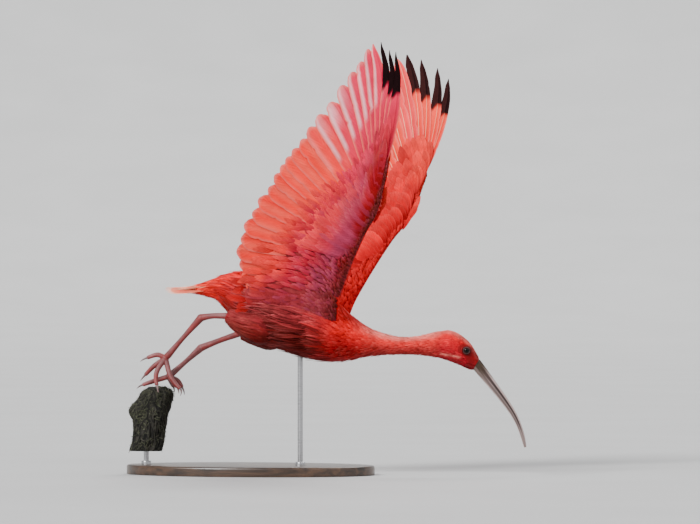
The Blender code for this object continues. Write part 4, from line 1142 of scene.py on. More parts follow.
def build_flight(name, colors):
    """One wing's flight feathers, from the outermost primary to the innermost tertial."""
    roots, tips = flight_axes(name)
    surface = wing_surface(name)
    widths = spline(FLIGHT_HALF_WIDTHS, np.arange(FLIGHT_COUNT) / 3)
    groups = []
    for first, last, template, bow in ((0, PRIMARY_COUNT, PRIMARY, FEATHER_BOW),
                                       (PRIMARY_COUNT, FLIGHT_COUNT, SECONDARY, FEATHER_BOW / 2)):
        part = slice(first, last)
        feathers = wing_group(surface, template, roots[part], tips[part], widths[part],
                              SEED + first)
        feathers.roll = (VANE_CLEARANCE / least_spacing(roots, tips, template.s))[part]
        feathers.bow[:] = bow
        feathers.ragged = 0.22
        feathers.cup = 0.010
        feathers.number = np.arange(first, last)
        feathers.ink_count = INK_COUNT[name]
        round_share = smooth(2.0, 5.5, feathers.number)[:, None]
        feathers.width = (outline(PRIMARY_OUTLINE, template.s) * (1 - round_share)
                          + outline(SECONDARY_OUTLINE, template.s) * round_share)
        pointed = 1 - smooth(2.5, 4.5, feathers.number)[:, None]
        feathers.width = feathers.width * (1 - 0.16 * pointed * smooth(0.6, 0.9, template.s))
        feathers.hook = (5.0 if name == "right" else 2.5) * pointed
        narrow = 0.30 * (name == "right") * (feathers.number < 3)[:, None]
        feathers.width = feathers.width * (1 - narrow * smooth(0.5, 0.75, template.s))
        groups.append((feathers, flight_tint,
                       strip_unwrap(first, FLIGHT_COUNT)))
    feather_piece(colors, "flight_feathers_" + name, groups, "vane_barbs",
                         "scarlet_plumage", "wing_" + name)


def flight_tint(feathers, colors):
    """Flight feathers' colours: ember vanes above, coral and rose with pale webs below."""
    s, c = feathers.s, feathers.c
    number = feathers.number[:, None, None]
    primary = 1 - smooth(7.0, 11.0, number)
    above = (feathers.template.rise > 0) | (np.abs(c) > 0.99)
    upper = mix(colors.scarlet, colors.ember, 0.1 + 0.9 * primary * smooth(0.30, 0.62, s))
    upper = mix(upper, colors.rose, 0.3 * primary * smooth(-0.1, -0.9, c) * smooth(0.3, 0.6, s))
    fourth = np.exp(-((number - 4.5) / 1.0) ** 2)
    upper = mix(upper, colors.pink, 0.5 * fourth)
    upper = mix(upper, colors.blush, 0.4 * smooth(0.84, 1.0, np.maximum(np.abs(c), s ** 4)))
    under = mix(colors.coral, colors.pink, primary)
    under = mix(under, colors.magenta, smooth(0.62, 0.30, s) * (0.25 + 0.6 * primary))
    stripe = 0.5 + 0.5 * np.sin(c * 5.0 + number * 2.4)
    under = mix(under, colors.salmon, 0.5 * stripe * (1 - primary) * smooth(0.2, 0.6, s))
    reach = 0.85 * smooth(0.30, 0.80, s) * (1.0 - 0.2 * smooth(0.85, 1.0, s))
    wedge = smooth(-1.0 + 0.62 * reach + 0.06, -1.0 + 0.62 * reach - 0.06, c)
    hand = smooth(1.5, 3.5, number) * (1 - smooth(8.5, 10.5, number))
    under = mix(under, colors.pale_web, 0.92 * wedge * hand * smooth(0.25, 0.5, s))
    under = mix(under, colors.pale_web, 0.75 * np.exp(-((number - 8.0) / 1.1) ** 2)
                * smooth(0.72, 0.95, s) * smooth(0.6, -0.4, c))
    # Painted shade: the leading side of each primary's vane darkens to magenta, where the next
    # feather overlaps it.
    under = mix(under, colors.magenta, 0.5 * smooth(0.2, 1.0, c) * hand)
    edge = smooth(-0.84, -0.98, c) * (0.28 + 0.50 * primary) * smooth(23.5, 21.5, number)
    under = mix(under, colors.blush, edge * smooth(0.05, 0.3, s))
    under = mix(under, colors.blush, 0.55 * smooth(0.95, 1.0, s) * smooth(23.5, 21.5, number))
    color = varied(feathers, np.where(above[..., None], upper, under), 0.06)
    shaft = np.exp(-((c - 0.28) / 0.03) ** 2)
    color = mix(color, np.where(above[..., None], colors.ivory, colors.magenta),
                0.8 * shaft * (0.3 + 0.7 * primary))
    start = 0.66 + 0.022 * number - 0.05 * smooth(0.2, -0.8, c)
    ink = smooth(-0.015, 0.015, s - start) * (number < feathers.ink_count)
    return mix(color, colors.ink, ink)


def direction_field(name, spots, turn_to_arm):
    """The lie of the coverts at spots of a wing: that of the flight feathers nearby."""
    roots, tips = flight_axes(name)
    shares = np.linspace(-0.5, 0.6, 12)
    run = unit(tips - roots)
    samples = (roots[:, None] + (tips - roots)[:, None] * shares[:, None]).reshape(-1, 2)
    runs = np.repeat(run, len(shares), axis=0)
    gap = np.sum((spots[:, None] - samples[None]) ** 2, axis=-1)
    weight = np.exp(-(gap - gap.min(axis=1, keepdims=True)) / (2 * 14.0 ** 2))
    flow = unit(np.einsum("ns,sk->nk", weight, runs))
    arm = unit(np.array((0.42, 0.9)))
    return unit(flow * (1 - turn_to_arm[:, None]) + arm * turn_to_arm[:, None])


# Rows of small coverts: share of the arm's chord, length, half width, spacing along the arm
SMALL_ROWS = (
    (0.95, 30, 5.0, 5.2), (0.84, 27, 4.6, 4.6), (0.73, 25, 4.2, 4.2), (0.62, 22, 3.8, 3.9),
    (0.52, 20, 3.5, 3.6), (0.43, 18, 3.2, 3.4), (0.34, 16, 2.9, 3.1), (0.26, 14, 2.6, 2.8),
    (0.18, 12, 2.3, 2.5), (0.11, 10, 2.0, 2.3), (0.055, 8, 1.8, 2.1), (0.015, 7, 1.6, 2.0))
# Large coverts: start and end along the flight feathers, half width, lift, first and last place
LARGE_ROWS = {
    "upper": ((-0.04, 0.40, 8.5, 2.2, 0, 10), (-0.02, 0.46, 10.0, 2.2, 9, 25),
              (-0.10, 0.28, 8.5, 3.2, 0, 25), (-0.16, 0.17, 7.0, 4.2, 0, 25)),
    "under": ((-0.04, 0.46, 4.8, 1.6, 0, 10), (-0.02, 0.45, 7.0, 1.6, 9, 20),
              (-0.08, 0.38, 5.0, 2.3, 0, 20), (-0.12, 0.26, 4.6, 3.0, 0, 20)),
}


# How far each large row takes the colour of the vanes behind it, at its tips
LARGE_BLENDS = (0.65, 0.65, 0.45, 0.2)
# The flight feather nearest each station of the arm
ARM_NUMBERS = (24, 22, 19, 15, 11, 9, 6, 3, 0)
ARM_RUN, ARM_REACH = 275, 7.9
AXILLARY_COUNT = 560


def clear_arm(feathers, face, above):
    """Lift feathers clear of the arm and the layers below, toward one face of the wing."""
    run = (feathers.along * feathers.length)[:, None] * feathers.template.s[:, None]
    spots = feathers.roots[:, None] + run
    feathers.lift = face * (arm_half(spots[..., 0], spots[..., 1]) + above)
    feathers.face = feathers.lower = face


def build_coverts(name, face_name, colors):
    """The coverts of one face of a wing, from the large rows to the edge of the arm."""
    face = 1.0 if face_name == "upper" else -1.0
    surface = wing_surface(name)
    roots, tips = flight_axes(name)
    groups = []
    for row, (start, end, half_width, lift, first, last) in enumerate(LARGE_ROWS[face_name]):
        steps = int((last - first) * (1.35 if face > 0 else 1.8))
        draw = np.random.default_rng(SEED + row)
        place = np.linspace(first, last - 1, steps) + draw.uniform(-0.15, 0.15, steps)
        root, run = spline(roots, place), spline(tips - roots, place)
        low = root + run * start
        high = low + run * (end - start) * draw.uniform(0.90, 1.07, (steps, 1))
        for _ in range(16):
            outside = leading_x(low[:, 1]) - low[:, 0] < half_width
            low[outside] += 0.04 * (high - low)[outside]
        feathers = wing_group(surface, COVERT, low, high, half_width, SEED + row)
        clear_arm(feathers, face, lift * np.interp(COVERT.s, (0.0, 0.3, 1.0), (0.3, 0.9, 1.0)))
        feathers.roll = 0.85 / least_spacing(low, high, COVERT.s)
        feathers.cup, feathers.thick, feathers.ragged = 0.012, 0.7, 0.2
        feathers.bow[:] = 0.015
        feathers.number, feathers.blend = place, LARGE_BLENDS[row]
        groups.append((feathers, covert_tint, WING_UNWRAP))
    for row, (chord, length, half_width, spacing) in enumerate(SMALL_ROWS):
        slim = 1.0 if face > 0 else 0.8
        count = int(ARM_RUN / spacing / slim)
        draw = np.random.default_rng(SEED + 40 + row)
        u = (np.arange(count) + draw.uniform(-0.45, 0.45, count)) / (count - 1) * ARM_REACH
        if face < 0:
            u = u[u > (1.3 if chord > 0.3 else -0.1)]
            count = len(u)
        c = np.clip(chord + draw.uniform(-0.04, 0.04, count), 0.008, 1.0)
        low = arm_section(u, c)[0]
        narrow = np.clip(1.0 - 0.45 * u / 8, 0.4, 1.0) * draw.uniform(0.8, 1.25, count)
        heading = direction_field(name, low, np.full(count, 0.62 * (1 - chord) ** 1.5))
        heading = unit(heading + draw.normal(size=(count, 2)) * 0.09)
        high = low + heading * (length * narrow / slim)[:, None]
        feathers = wing_group(surface, SMALL_COVERT, low, high,
                              half_width * slim * np.sqrt(narrow), SEED + 60 + row)
        rise = np.interp(SMALL_COVERT.s, (0.0, 0.35, 1.0), (-0.6, 1.1, 1.9))
        rise = rise + 0.25 * draw.normal(size=(count, 1))
        clear_arm(feathers, face, rise + 0.9 * smooth(0.6, 1.0, chord))
        feathers.cup, feathers.thick = 0.03, 0.6
        feathers.bow[:] = draw.uniform(-0.05, 0.05, (count, 1))
        feathers.number = np.interp(u, range(len(ARM)), ARM_NUMBERS)
        feathers.blend = float(0.8 * smooth(0.5, 0.95, chord))
        groups.append((feathers, covert_tint, WING_UNWRAP))
    if face < 0:
        groups.append((axillaries(surface), covert_tint, WING_UNWRAP))
    feather_piece(colors, face_name + "_coverts_" + name, groups, "covert_barbs",
                         "scarlet_plumage", "wing_" + name)


def axillaries(surface):
    """Long soft plumes under the wing's root, which sweep back and close in on the flank."""
    draw = np.random.default_rng(SEED + 150)
    count = AXILLARY_COUNT
    u, c = draw.uniform(-0.1, 1.15, count), draw.uniform(0.05, 0.78, count)
    low = arm_section(u, c)[0]
    slant = 0.04 + 0.10 * u + 0.07 * draw.normal(size=count)
    heading = unit(np.stack([np.full(count, -1.0), slant], axis=-1))
    length = draw.uniform(34, 54, count) * (0.6 + 0.4 * c) * smooth(-0.6, 0.4, u)
    high = low + heading * length[:, None]
    plumes = wing_group(surface, PLUME, low, high, draw.uniform(1.5, 2.6, count), SEED + 151)
    s = PLUME.s
    rise = np.interp(s, (0.0, 0.25, 1.0), (-0.4, 1.6, 1.8)) * draw.uniform(0.7, 1.5, (count, 1))
    clear_arm(plumes, -1.0, rise)
    plumes.lift += 7.0 * smooth(55, 15, low[:, 1])[:, None] * s ** 2
    plumes.bow[:] = draw.uniform(-0.08, 0.08, (count, 1))
    plumes.cup, plumes.blend = 0.02, 0.0
    plumes.number = np.interp(u, range(len(ARM)), ARM_NUMBERS)
    return plumes


def covert_tint(feathers, colors):
    """Coverts: scarlet above; below, painted shadow at the leading edge, then mauve to coral."""
    s, c = feathers.s, feathers.c
    number = feathers.number[:, None, None]
    if feathers.face > 0:
        color = mix(colors.scarlet, colors.crimson, 0.42)
        color = mix(color, colors.ember, 0.45 * smooth(6, 2, number) * s)
        color = mix(color, colors.rose, 0.10 * smooth(0.6, 1.0, np.maximum(np.abs(c), s)))
        # Painted shade: each covert darkens toward its root, where the row above covers it.
        color = mix(color, colors.crimson, 0.5 * smooth(0.6, 0.0, s))
        return varied(feathers, color, 0.16)
    x = feathers.roots[:, 0, None, None] + feathers.along[:, 0, None, None] * feathers.forward
    h = feathers.roots[:, 1, None, None] + feathers.along[:, 1, None, None] * feathers.forward
    color = under_color(colors, x, h)
    fleck = feathers.draw.normal(size=(feathers.count, 1, 1))
    color = mix(color, colors.lilac, np.clip(0.22 * fleck, 0, 0.6))
    color = mix(color, colors.belly, np.clip(-0.20 * fleck, 0, 0.6))
    color = mix(color, colors.blush, 0.14 * smooth(0.55, 1.0, s) * np.abs(c))
    vane = mix(colors.coral, colors.pink, 1 - smooth(7.0, 11.0, number))
    vane = mix(vane, colors.salmon, 0.35 * smooth(8.0, 12.0, number))
    vane = mix(vane, colors.magenta, 1 - feathers.blend)
    color = mix(color, vane, feathers.blend * smooth(0.25, 0.95, s))
    return varied(feathers, color, 0.10)


def under_color(colors, x, h):
    """Colour under the wing by place: painted shadow at the leading edge, coral at the trailing."""
    spots = np.stack([x, h, 0 * x], axis=-1)
    plain = leading_x(h) - x
    inward = plain + 9.0 * ripple(spots, 42.0, 31)
    # Painted shadow: the darkest red, then crimson, along the leading edge, where the wing shades
    # its own underside.
    color = mix(colors.belly, colors.crimson, smooth(3, 14, plain))
    color = mix(color, colors.lilac, 0.8 * smooth(14, 36, inward))
    color = mix(color, colors.magenta, smooth(40, 64, inward))
    color = mix(color, colors.coral, 0.9 * smooth(96, 132, inward) * smooth(225, 180, h))
    color = mix(color, colors.pink, 0.85 * smooth(185, 245, h) * smooth(22, 45, inward))
    near_body = smooth(66, 26, h + 6.0 * ripple(spots, 25.0, 32))
    color = mix(color, colors.mauve, 0.85 * near_body)
    # More painted shadow at the leading edge toward the shoulder.
    return mix(color, colors.belly, 0.7 * smooth(26, 6, plain) * smooth(150, 60, h))


def build_alula(name, colors):
    """The alula: three stiff feathers that lie along the wrist on the upper side."""
    surface = wing_surface(name)
    low = np.array([(211, 132), (213.5, 138), (216, 144)], float)
    high = np.array([(233.5, 183), (231.5, 176), (230, 168)], float)
    feathers = wing_group(surface, COVERT, low, high, 5.0, SEED + 80)
    rise = np.array((4.2, 5.0, 5.8))[:, None] * np.interp(COVERT.s, (0, 0.3, 1.0), (0.2, 0.8, 1.0))
    clear_arm(feathers, 1.0, rise)
    feathers.roll[:] = 0.08
    feathers.number, feathers.blend, feathers.cup = np.full(3, 4.0), 0.0, 0.02
    feather_piece(colors, "alula_" + name, [(feathers, covert_tint, WING_UNWRAP)],
                  "covert_barbs", "scarlet_plumage")


def tail_surface(x, across, lift=0.0):
    """The tail's surface: a shallow arch behind the hinge."""
    share = (TAIL_HINGE_X - x) / TAIL_LENGTH
    z = TAIL_HINGE_Z + (TAIL_TIP_Z - TAIL_HINGE_Z) * share - TAIL_ARCH * across * across
    return np.stack([x, across, z + lift], axis=-1)


def build_tail(colors):
    """Twelve tail feathers in a closed fan, with pointed coverts over and under their roots."""
    angles = np.radians(6.0 + 4.2 * np.arange(5))
    angles = np.concatenate([-angles[::-1], (-0.02, 0.02), angles])
    order = np.concatenate([np.arange(5)[::-1], (-1.0, -1.4), np.arange(5)])
    lengths = TAIL_LENGTH - 0.5 * np.maximum(order, 0) ** 2
    roots = np.stack([np.full(12, TAIL_HINGE_X), np.sign(angles) + 10.0 * np.sin(angles)], axis=-1)
    runs = np.stack([-np.cos(angles), np.sin(angles)], axis=-1)
    feathers = wing_group(tail_surface, SECONDARY, roots, roots + runs * lengths[:, None],
                          TAIL_HALF_WIDTH - 1.0, SEED + 90)
    feathers.width = outline(TAIL_OUTLINE, SECONDARY.s)
    feathers.lift = (2.6 - 0.95 * order)[:, None] + 0 * SECONDARY.s
    feathers.thick, feathers.cup, feathers.ragged = 0.8, 0.02, 0.4
    feathers.number = order
    groups = [(feathers, tail_tint, strip_unwrap(0, 12))]
    feather_piece(colors, "tail_feathers", groups, "vane_barbs", "scarlet_plumage", "tail")
    groups = []
    unwrap = tuft_unwrap((-140, -30), (0, 30))
    for row, (face, x, length, lift, count) in enumerate(TAIL_COVERT_ROWS):
        draw = np.random.default_rng(SEED + 100 + row)
        y = np.linspace(-13, 13, count) + draw.uniform(-1, 1, count)
        low = np.stack([np.full(count, float(x)) + draw.uniform(-3, 3, count), y], axis=-1)
        slant = 0.016 * y + draw.normal(size=count) * 0.08
        heading = unit(np.stack([np.full(count, -1.0), slant], axis=-1))
        high = low + heading * (length * draw.uniform(0.75, 1.15, count))[:, None]
        tufts = wing_group(tail_surface, PLUME, low, high, draw.uniform(1.1, 2.6, count),
                           SEED + 110 + row)
        s = PLUME.s
        settle = 1 - (0.45 if face > 0 else 0.72) * smooth(0.2, 1.0, s)
        edge = 1 - 0.35 * (y / 14) ** 2
        stray = face * 1.5 * draw.normal(size=(count, 1)) * s ** 2
        tufts.lift = lift * settle * edge[:, None] + stray
        tufts.lower, tufts.cup = float(face), 0.05
        tufts.number, tufts.face = y, face
        groups.append((tufts, tail_covert_tint, unwrap))
    feather_piece(colors, "tail_coverts", groups, "covert_barbs", "scarlet_plumage", "tail")


def tail_tint(feathers, colors):
    """Tail feathers: ember with pale edges and ivory shafts."""
    s, c = feathers.s, feathers.c
    color = mix(colors.ember, colors.salmon, 0.5 * smooth(0.5, 1.0, s))
    color = mix(color, colors.ivory, 0.6 * smooth(0.7, 1.0, np.maximum(np.abs(c), s)))
    shaft = np.exp(-((c - 0.28) / 0.03) ** 2)
    return mix(varied(feathers, color, 0.05), colors.ivory, 0.5 * shaft)


def tail_covert_tint(feathers, colors):
    """Tail coverts: ember at the root, with ivory tips above and salmon below."""
    s = feathers.s
    pale = colors.ivory if feathers.face > 0 else colors.salmon
    color = mix(colors.ember, colors.salmon, 0.4 * s)
    return varied(feathers, mix(color, pale, 0.9 * smooth(0.4, 0.95, s)), 0.12)


def scattered(low_t, high_t, seed):
    """Stations and angles over a stretch of the body, in rows with a jittered brick pattern."""
    draw = np.random.default_rng(seed)
    t_values, angles = [], []
    t = low_t
    row = 0
    while t < high_t:
        along, around = coat_sizes(t)[2:]
        here = spline(BODY, np.array([t]))[0]
        next_t = t + 0.02
        there = spline(BODY, np.array([next_t]))[0]
        run = np.hypot((there[0] + there[2] - here[0] - here[2]) / 2,
                       (there[1] + there[3] - here[1] - here[3]) / 2) / 0.02
        half_height = np.hypot(here[0] - here[2], here[1] - here[3]) / 2
        girth = math.pi * (3 * (here[4] + half_height)
                           - math.sqrt((3 * here[4] + half_height) * (here[4] + 3 * half_height)))
        count = max(8, int(girth / around))
        turn = (np.arange(count) + 0.5 * (row % 2) + draw.uniform(-0.3, 0.3, count)) * TAU / count
        t_values.append(t + draw.uniform(-0.35, 0.35, count) * along / run)
        angles.append(turn)
        t += along / run
        row += 1
    return np.concatenate(t_values), np.concatenate(angles)


def contour_group(t, angle, template, length, half_width, lifts, sideways, seed, drop=0.0):
    """Feathers on the body that lie back along it, with a little sideways disorder."""
    draw = np.random.default_rng(seed)
    ahead = unit(body_surface(t + 0.02, angle) - body_surface(t - 0.02, angle))
    back = -ahead + draw.normal(size=ahead.shape) * sideways
    back[:, 2] -= drop
    along, across = steps_on(body_surface, t, angle, back)
    count = len(t)
    feathers = Feathers(body_surface, template, np.stack([t, angle], axis=-1), along, across,
                        length * draw.uniform(0.82, 1.18, count),
                        half_width * draw.uniform(0.85, 1.15, count), seed)
    depth = -np.interp(t, COAT_STATIONS, COAT_DEPTHS)
    rise = np.interp(template.s, (0.0, 0.3, 1.0), lifts)
    loose = 1 + 0.35 * draw.normal(size=(count, 1)) * template.s
    feathers.lift = depth[:, None] - 0.3 + (rise * loose)
    feathers.bow[:] = draw.uniform(-0.06, 0.06, (count, 1))
    feathers.cup = 0.03
    return feathers


def contour_tint(pale=0.10, spread=0.12, bloom=0.0):
    """A function that tints feathers by place on the body, paler at tips, painted shade at roots.
    """
    def tint(feathers, colors):
        t, angle = feathers.roots[:, 0, None, None], feathers.roots[:, 1, None, None]
        color = body_tint(colors, t, angle)
        s, c = feathers.s, feathers.c
        tips = smooth(0.35, 1.0, s) * (0.55 + 0.45 * np.abs(c))
        fleck = np.clip(0.6 + 0.6 * feathers.draw.normal(size=(feathers.count, 1, 1)), 0, 2.0)
        over = mix(colors.rose, colors.lilac, bloom)
        color = mix(color, over, np.clip(pale * tips * fleck, 0, 1))
        # Painted shade: each feather darkens toward its root, where the feathers over it cover it.
        color = mix(color, colors.belly, 0.45 * smooth(0.5, 0.0, s))
        return varied(feathers, color, spread)

    return tint


BODY_UNWRAP = tuft_unwrap((0.0, 0.0), (21.5, TAU))


def inside_wing_root(t, angle):
    """Whether a spot on the body lies under the root of an arm."""
    points = body_surface(t, angle)
    x, y, z = points[:, 0], np.abs(points[:, 1]), points[:, 2]
    return (x > 8) & (x < 146) & (z > 240) & (z < 264) & (y > 33)


def coat_sizes(t):
    """Length, half width, and spacings along and around at a station."""
    length = np.interp(t, (0, 2, 4, 8, 10, 11.5, 13, 15, 17, 20, 21),
                       (20, 24, 27, 25, 19, 13.5, 11, 9.5, 7.5, 5.0, 4.0))
    return length, length * 0.115 + 0.15, length * 0.2, length * 0.17 + 0.25


def build_body_coat(colors):
    """Contour feathers of the torso, in a back piece and a belly piece, with loose plumes."""
    t, angle = scattered(0.6, 10.9, SEED + 200)
    keep = ~inside_wing_root(t, angle)
    t, angle = t[keep], angle[keep]
    length, half_width = coat_sizes(t)[:2]
    back = np.sin(angle) > 0.05
    tint = contour_tint()
    for name, part, seed in (("back_coat", back, 210), ("belly_coat", ~back, 220)):
        feathers = contour_group(t[part], angle[part], CONTOUR, length[part], half_width[part],
                                 (-0.2, 1.5, 3.0), 0.07, SEED + seed)
        feather_piece(colors, name, [(feathers, tint, BODY_UNWRAP)], "down_barbs",
                      "scarlet_plumage", "torso")
    draw = np.random.default_rng(SEED + 230)
    groups = []
    for low_t, high_t, low_a, high_a, count, length, lifts in (
            (3.2, 9.2, -1.25, 0.55, 760, 44.0, (0.4, 2.6, 4.2)),
            (5.3, 8.0, -0.75, 0.15, 330, 54.0, (0.6, 7.0, 13.0)),
            (4.5, 9.8, -1.57, -0.9, 200, 36.0, (0.4, 2.4, 4.6)),
            (4.8, 8.6, 0.30, 0.85, 160, 52.0, (0.6, 3.6, 4.6)),
            (4.6, 9.0, 0.75, 1.2, 90, 46.0, (0.6, 3.4, 4.6)),
            (1.2, 4.0, 0.1, 1.5, 140, 34.0, (0.4, 2.0, 3.2))):
        for side in (0, 1):
            spots = draw.uniform(low_t, high_t, count)
            turn = draw.uniform(low_a, high_a, count)
            turn = math.pi - turn if side else turn
            plumes = contour_group(spots, turn, PLUME, length, 1.25, lifts, 0.09,
                                   SEED + 240 + side, drop=0.08)
            plumes.ragged = 0.2
            groups.append((plumes, contour_tint(0.30, 0.28, 0.35), BODY_UNWRAP))
    feather_piece(colors, "loose_plumes", groups, "down_barbs", "scarlet_plumage", "torso")


def build_neck_coat(colors):
    """Small feathers of the neck, lying back from the head to the breast."""
    t, angle = scattered(10.7, 15.6, SEED + 300)
    length, half_width = coat_sizes(t)[:2]
    feathers = contour_group(t, angle, CONTOUR, length, half_width, (-0.2, 1.1, 2.2), 0.08,
                             SEED + 310)
    feather_piece(colors, "neck_coat", [(feathers, contour_tint(0.18), BODY_UNWRAP)],
                  "down_barbs", "rose_plumage", "neck")


def build_head_coat(colors):
    """Tiny feathers of the head, which leave the face bare from the eye to the bill."""
    t, angle = scattered(15.4, 20.9, SEED + 400)
    points = body_surface(t, angle)
    bare = (line_distance(points, FACE_LINE) < 8.2) & (np.abs(points[:, 1]) > 2.0)
    t, angle = t[~bare], angle[~bare]
    length, half_width = coat_sizes(t)[:2]
    feathers = contour_group(t, angle, TINY, length, half_width, (-0.1, 0.7, 1.3), 0.08,
                             SEED + 410)
    feather_piece(colors, "head_coat", [(feathers, contour_tint(0.12, 0.16), BODY_UNWRAP)],
                  "down_barbs", "rose_plumage", "head")


def build_thigh_coats(colors):
    """Feathers and loose plumes of both thighs, which thin out at the bare shank."""
    groups = []
    for name, side in SIDES.items():
        surface = limb_surface(LEGS[name]["thigh"], THIGH_RADII)
        offset = 0.0 if side < 0 else 0.5

        def unwrap(made, offset=offset):
            spots = np.stack([offset + 0.02 + 0.44 * made.roots[:, 0] / 2.1,
                              0.02 + 0.95 * made.roots[:, 1] / TAU], axis=-1)
            return spots, (BAKE_PATCH / 2, BAKE_PATCH)

        for template, count, long, slim, lifts, seed in (
                (CONTOUR, 620, 1.0, 0.13, (-1.6, 0.0, 1.2), 500),
                (PLUME, 460, 2.1, 0.03, (-1.0, 1.6, 3.2), 520)):
            draw = np.random.default_rng(SEED + seed + int(side))
            t = 1.97 * draw.uniform(0.0, 1.0, count) ** 0.9
            angle = draw.uniform(0, TAU, count)
            ahead = unit(surface(t + 0.02, angle) - surface(t - 0.02, angle))
            along, across = steps_on(surface, t, angle,
                                     ahead + draw.normal(size=ahead.shape) * 0.10)
            length = np.interp(t, (0, 1.2, 2.0), (24, 17, 8)) * long * draw.uniform(0.8, 1.2, count)
            feathers = Feathers(surface, template, np.stack([t, angle], axis=-1), along, across,
                                length, length * slim + 0.2, SEED + seed)
            feathers.lift = np.interp(template.s, (0.0, 0.3, 1.0), lifts) * np.ones((count, 1))
            feathers.cup = 0.03
            groups.append((feathers, thigh_tint, unwrap))
    feather_piece(colors, "thigh_coats", groups, "down_barbs", "scarlet_plumage",
                  "thigh_right", "thigh_left")


def thigh_tint(feathers, colors):
    """The thighs' colours: mauve like the flanks, painted shade below, and magenta at the shank."""
    s = feathers.s
    t = feathers.roots[:, 0, None, None]
    low = smooth(0.5, -0.5, np.sin(feathers.roots[:, 1]))[:, None, None]
    # Painted shade: darker copies of the flank's mauve and crimson, for thighs tucked under the
    # body.
    color = mix(colors.mauve * 0.75, colors.crimson * 0.75, 0.35)
    color = mix(color, colors.magenta, 0.35 * smooth(1.2, 1.9, t))
    # Painted shade on the thigh's underside, in the belly colour.
    color = mix(color, colors.belly, 0.85 * low)
    color = mix(color, colors.rose, 0.12 * smooth(0.5, 1.0, s))
    return varied(feathers, color, 0.2)


def build_perch(colors):
    """The snag: furrowed grey wood with bark plates, a burl, and moss near its broken top."""
    share, turn = np.meshgrid(np.linspace(0, 1, 190), np.arange(250) * TAU / 250, indexing="ij")
    height = PERCH_FOOT[2] + (PERCH_TOP[2] - PERCH_FOOT[2]) * share
    flat = np.stack([np.cos(turn) * PERCH_RADIUS, np.sin(turn) * PERCH_RADIUS,
                     height * GRAIN_STRETCH], axis=-1)
    furrows = -np.abs(ripple(flat, 7.0, 21, 11)) * 2.4 + 1.0
    plates = ripple(flat * (1, 1, 2.5), 16.0, 22) * 1.0
    grain = ripple(flat, 2.2, 23, 11) * 0.35
    points = perch_surface(turn, share, relief=furrows + plates + grain)
    points[..., 2] += ripple(points, 9.0, 24) * 1.2 * smooth(0.75, 1.0, share)
    points[0, :, 2] = PERCH_FOOT[2]
    mesh = bmesh_to_mesh("snag", closed_loft(points), 70.0)
    spots = mesh_points(mesh)
    cavity = ripple(spots * (1, 1, GRAIN_STRETCH), 7.0, 21, 11)
    color = mix(colors.bark, colors.bark_grey, smooth(0.0, 0.9, np.abs(cavity)) * 0.6)
    moss = smooth(0.2, 0.9, ripple(spots, 18, 27)) * smooth(105, 128, spots[:, 2])
    set_tint(mesh, mix(color, colors.moss, 0.6 * moss))
    material, tree, shader = new_material("snag_bark", 0.88, Specular_IOR_Level=0.2)
    drawn = drawn_place(tree, (1.0, 1.0, 0.15))
    fibre = noise(tree, 420.0, 6.0, drawn)
    crumbs = noise(tree, 260.0, 6.0)
    value = math_node(tree, "MULTIPLY", stretched(tree, fibre, 0.45, 1.6),
                      stretched(tree, crumbs, 0.7, 1.3))
    paint(tree, shader, value)
    bump(tree, shader, math_node(tree, "ADD", fibre, crumbs), 0.9)
    link("snag", mesh, material, "weathered_wood", "perch")
    build_moss(colors)


def perch_surface(turn, share, lift=0.0, relief=0.0):
    """The snag's surface at a turn round it and a share of its height: flutes, burl and top."""
    rise = np.minimum(1.0, share / PERCH_SHOULDER)
    over = np.clip((share - PERCH_SHOULDER) / (1.01 - PERCH_SHOULDER), 0, 0.999)
    height = PERCH_FOOT[2] + (PERCH_TOP[2] - PERCH_FOOT[2]) * share
    burl = np.exp(-((height - BURL_HEIGHT) / BURL_SPREAD) ** 2)
    radius = PERCH_RADIUS + relief + BURL_REACH * burl * np.maximum(0, -np.cos(turn)) ** 3
    for (amount, round_waves, up_waves), phase in zip(PERCH_FLUTES, PERCH_PHASES):
        wave = np.sin(round_waves * turn + up_waves * rise + phase)
        radius = radius + PERCH_RADIUS * amount * wave
    radius = radius * np.sqrt(1 - over * over) + lift
    points = PERCH_FOOT + (PERCH_TOP - PERCH_FOOT) * share[..., None]
    points = points + np.stack([np.cos(turn) * radius, np.sin(turn) * radius, 0 * radius], axis=-1)
    points[..., 2] += np.asarray(lift) * over
    return points


def build_moss(colors):
    """Shaggy tufts of lichen and bark fibre, thickest at the snag's top and on its burl."""
    draw = np.random.default_rng(SEED + 600)
    count = TUFT_COUNT
    share, turn = draw.uniform(0.05, 0.97, count), draw.uniform(0, TAU, count)
    points = perch_surface(turn, share)
    burl = np.exp(-((points[:, 2] - BURL_HEIGHT) / 14.0) ** 2) * (np.cos(turn) < -0.3)
    thick = 0.22 + 0.78 * np.maximum(smooth(0.72, 0.95, share), burl)
    keep = draw.uniform(0, 1, count) < thick
    turn, share = turn[keep], share[keep]
    count = len(turn)
    heading = np.stack([draw.normal(size=count), draw.normal(size=count),
                        draw.normal(size=count) - 0.9], axis=-1)
    along, across = steps_on(perch_surface, turn, share, heading)
    length = draw.uniform(3.0, 11.0, count)
    tufts = Feathers(perch_surface, TINY, np.stack([turn, share], axis=-1), along, across,
                     length, draw.uniform(0.25, 0.6, count), SEED + 601)
    curl = draw.uniform(0.2, 3.6, (count, 1))
    tufts.lift = -0.8 + (curl + 1.2) * TINY.s
    tufts.thick = 0.5

    def tint(made, colors):
        share = made.draw.uniform(0, 1, (made.count, 1, 1))
        return varied(made, mix(colors.bark_grey, colors.moss, share), 0.3)

    feather_piece(colors, "snag_moss", [(tufts, tint, tuft_unwrap((0, 0), (TAU, 1)))],
                  "moss_fibre", "weathered_wood")


def bevel(bm, edges, offset, segments):
    """Round edges off by an offset."""
    bmesh.ops.bevel(bm, geom=edges, offset=offset, segments=segments, profile=0.5,
                    affect="EDGES", material=-1)


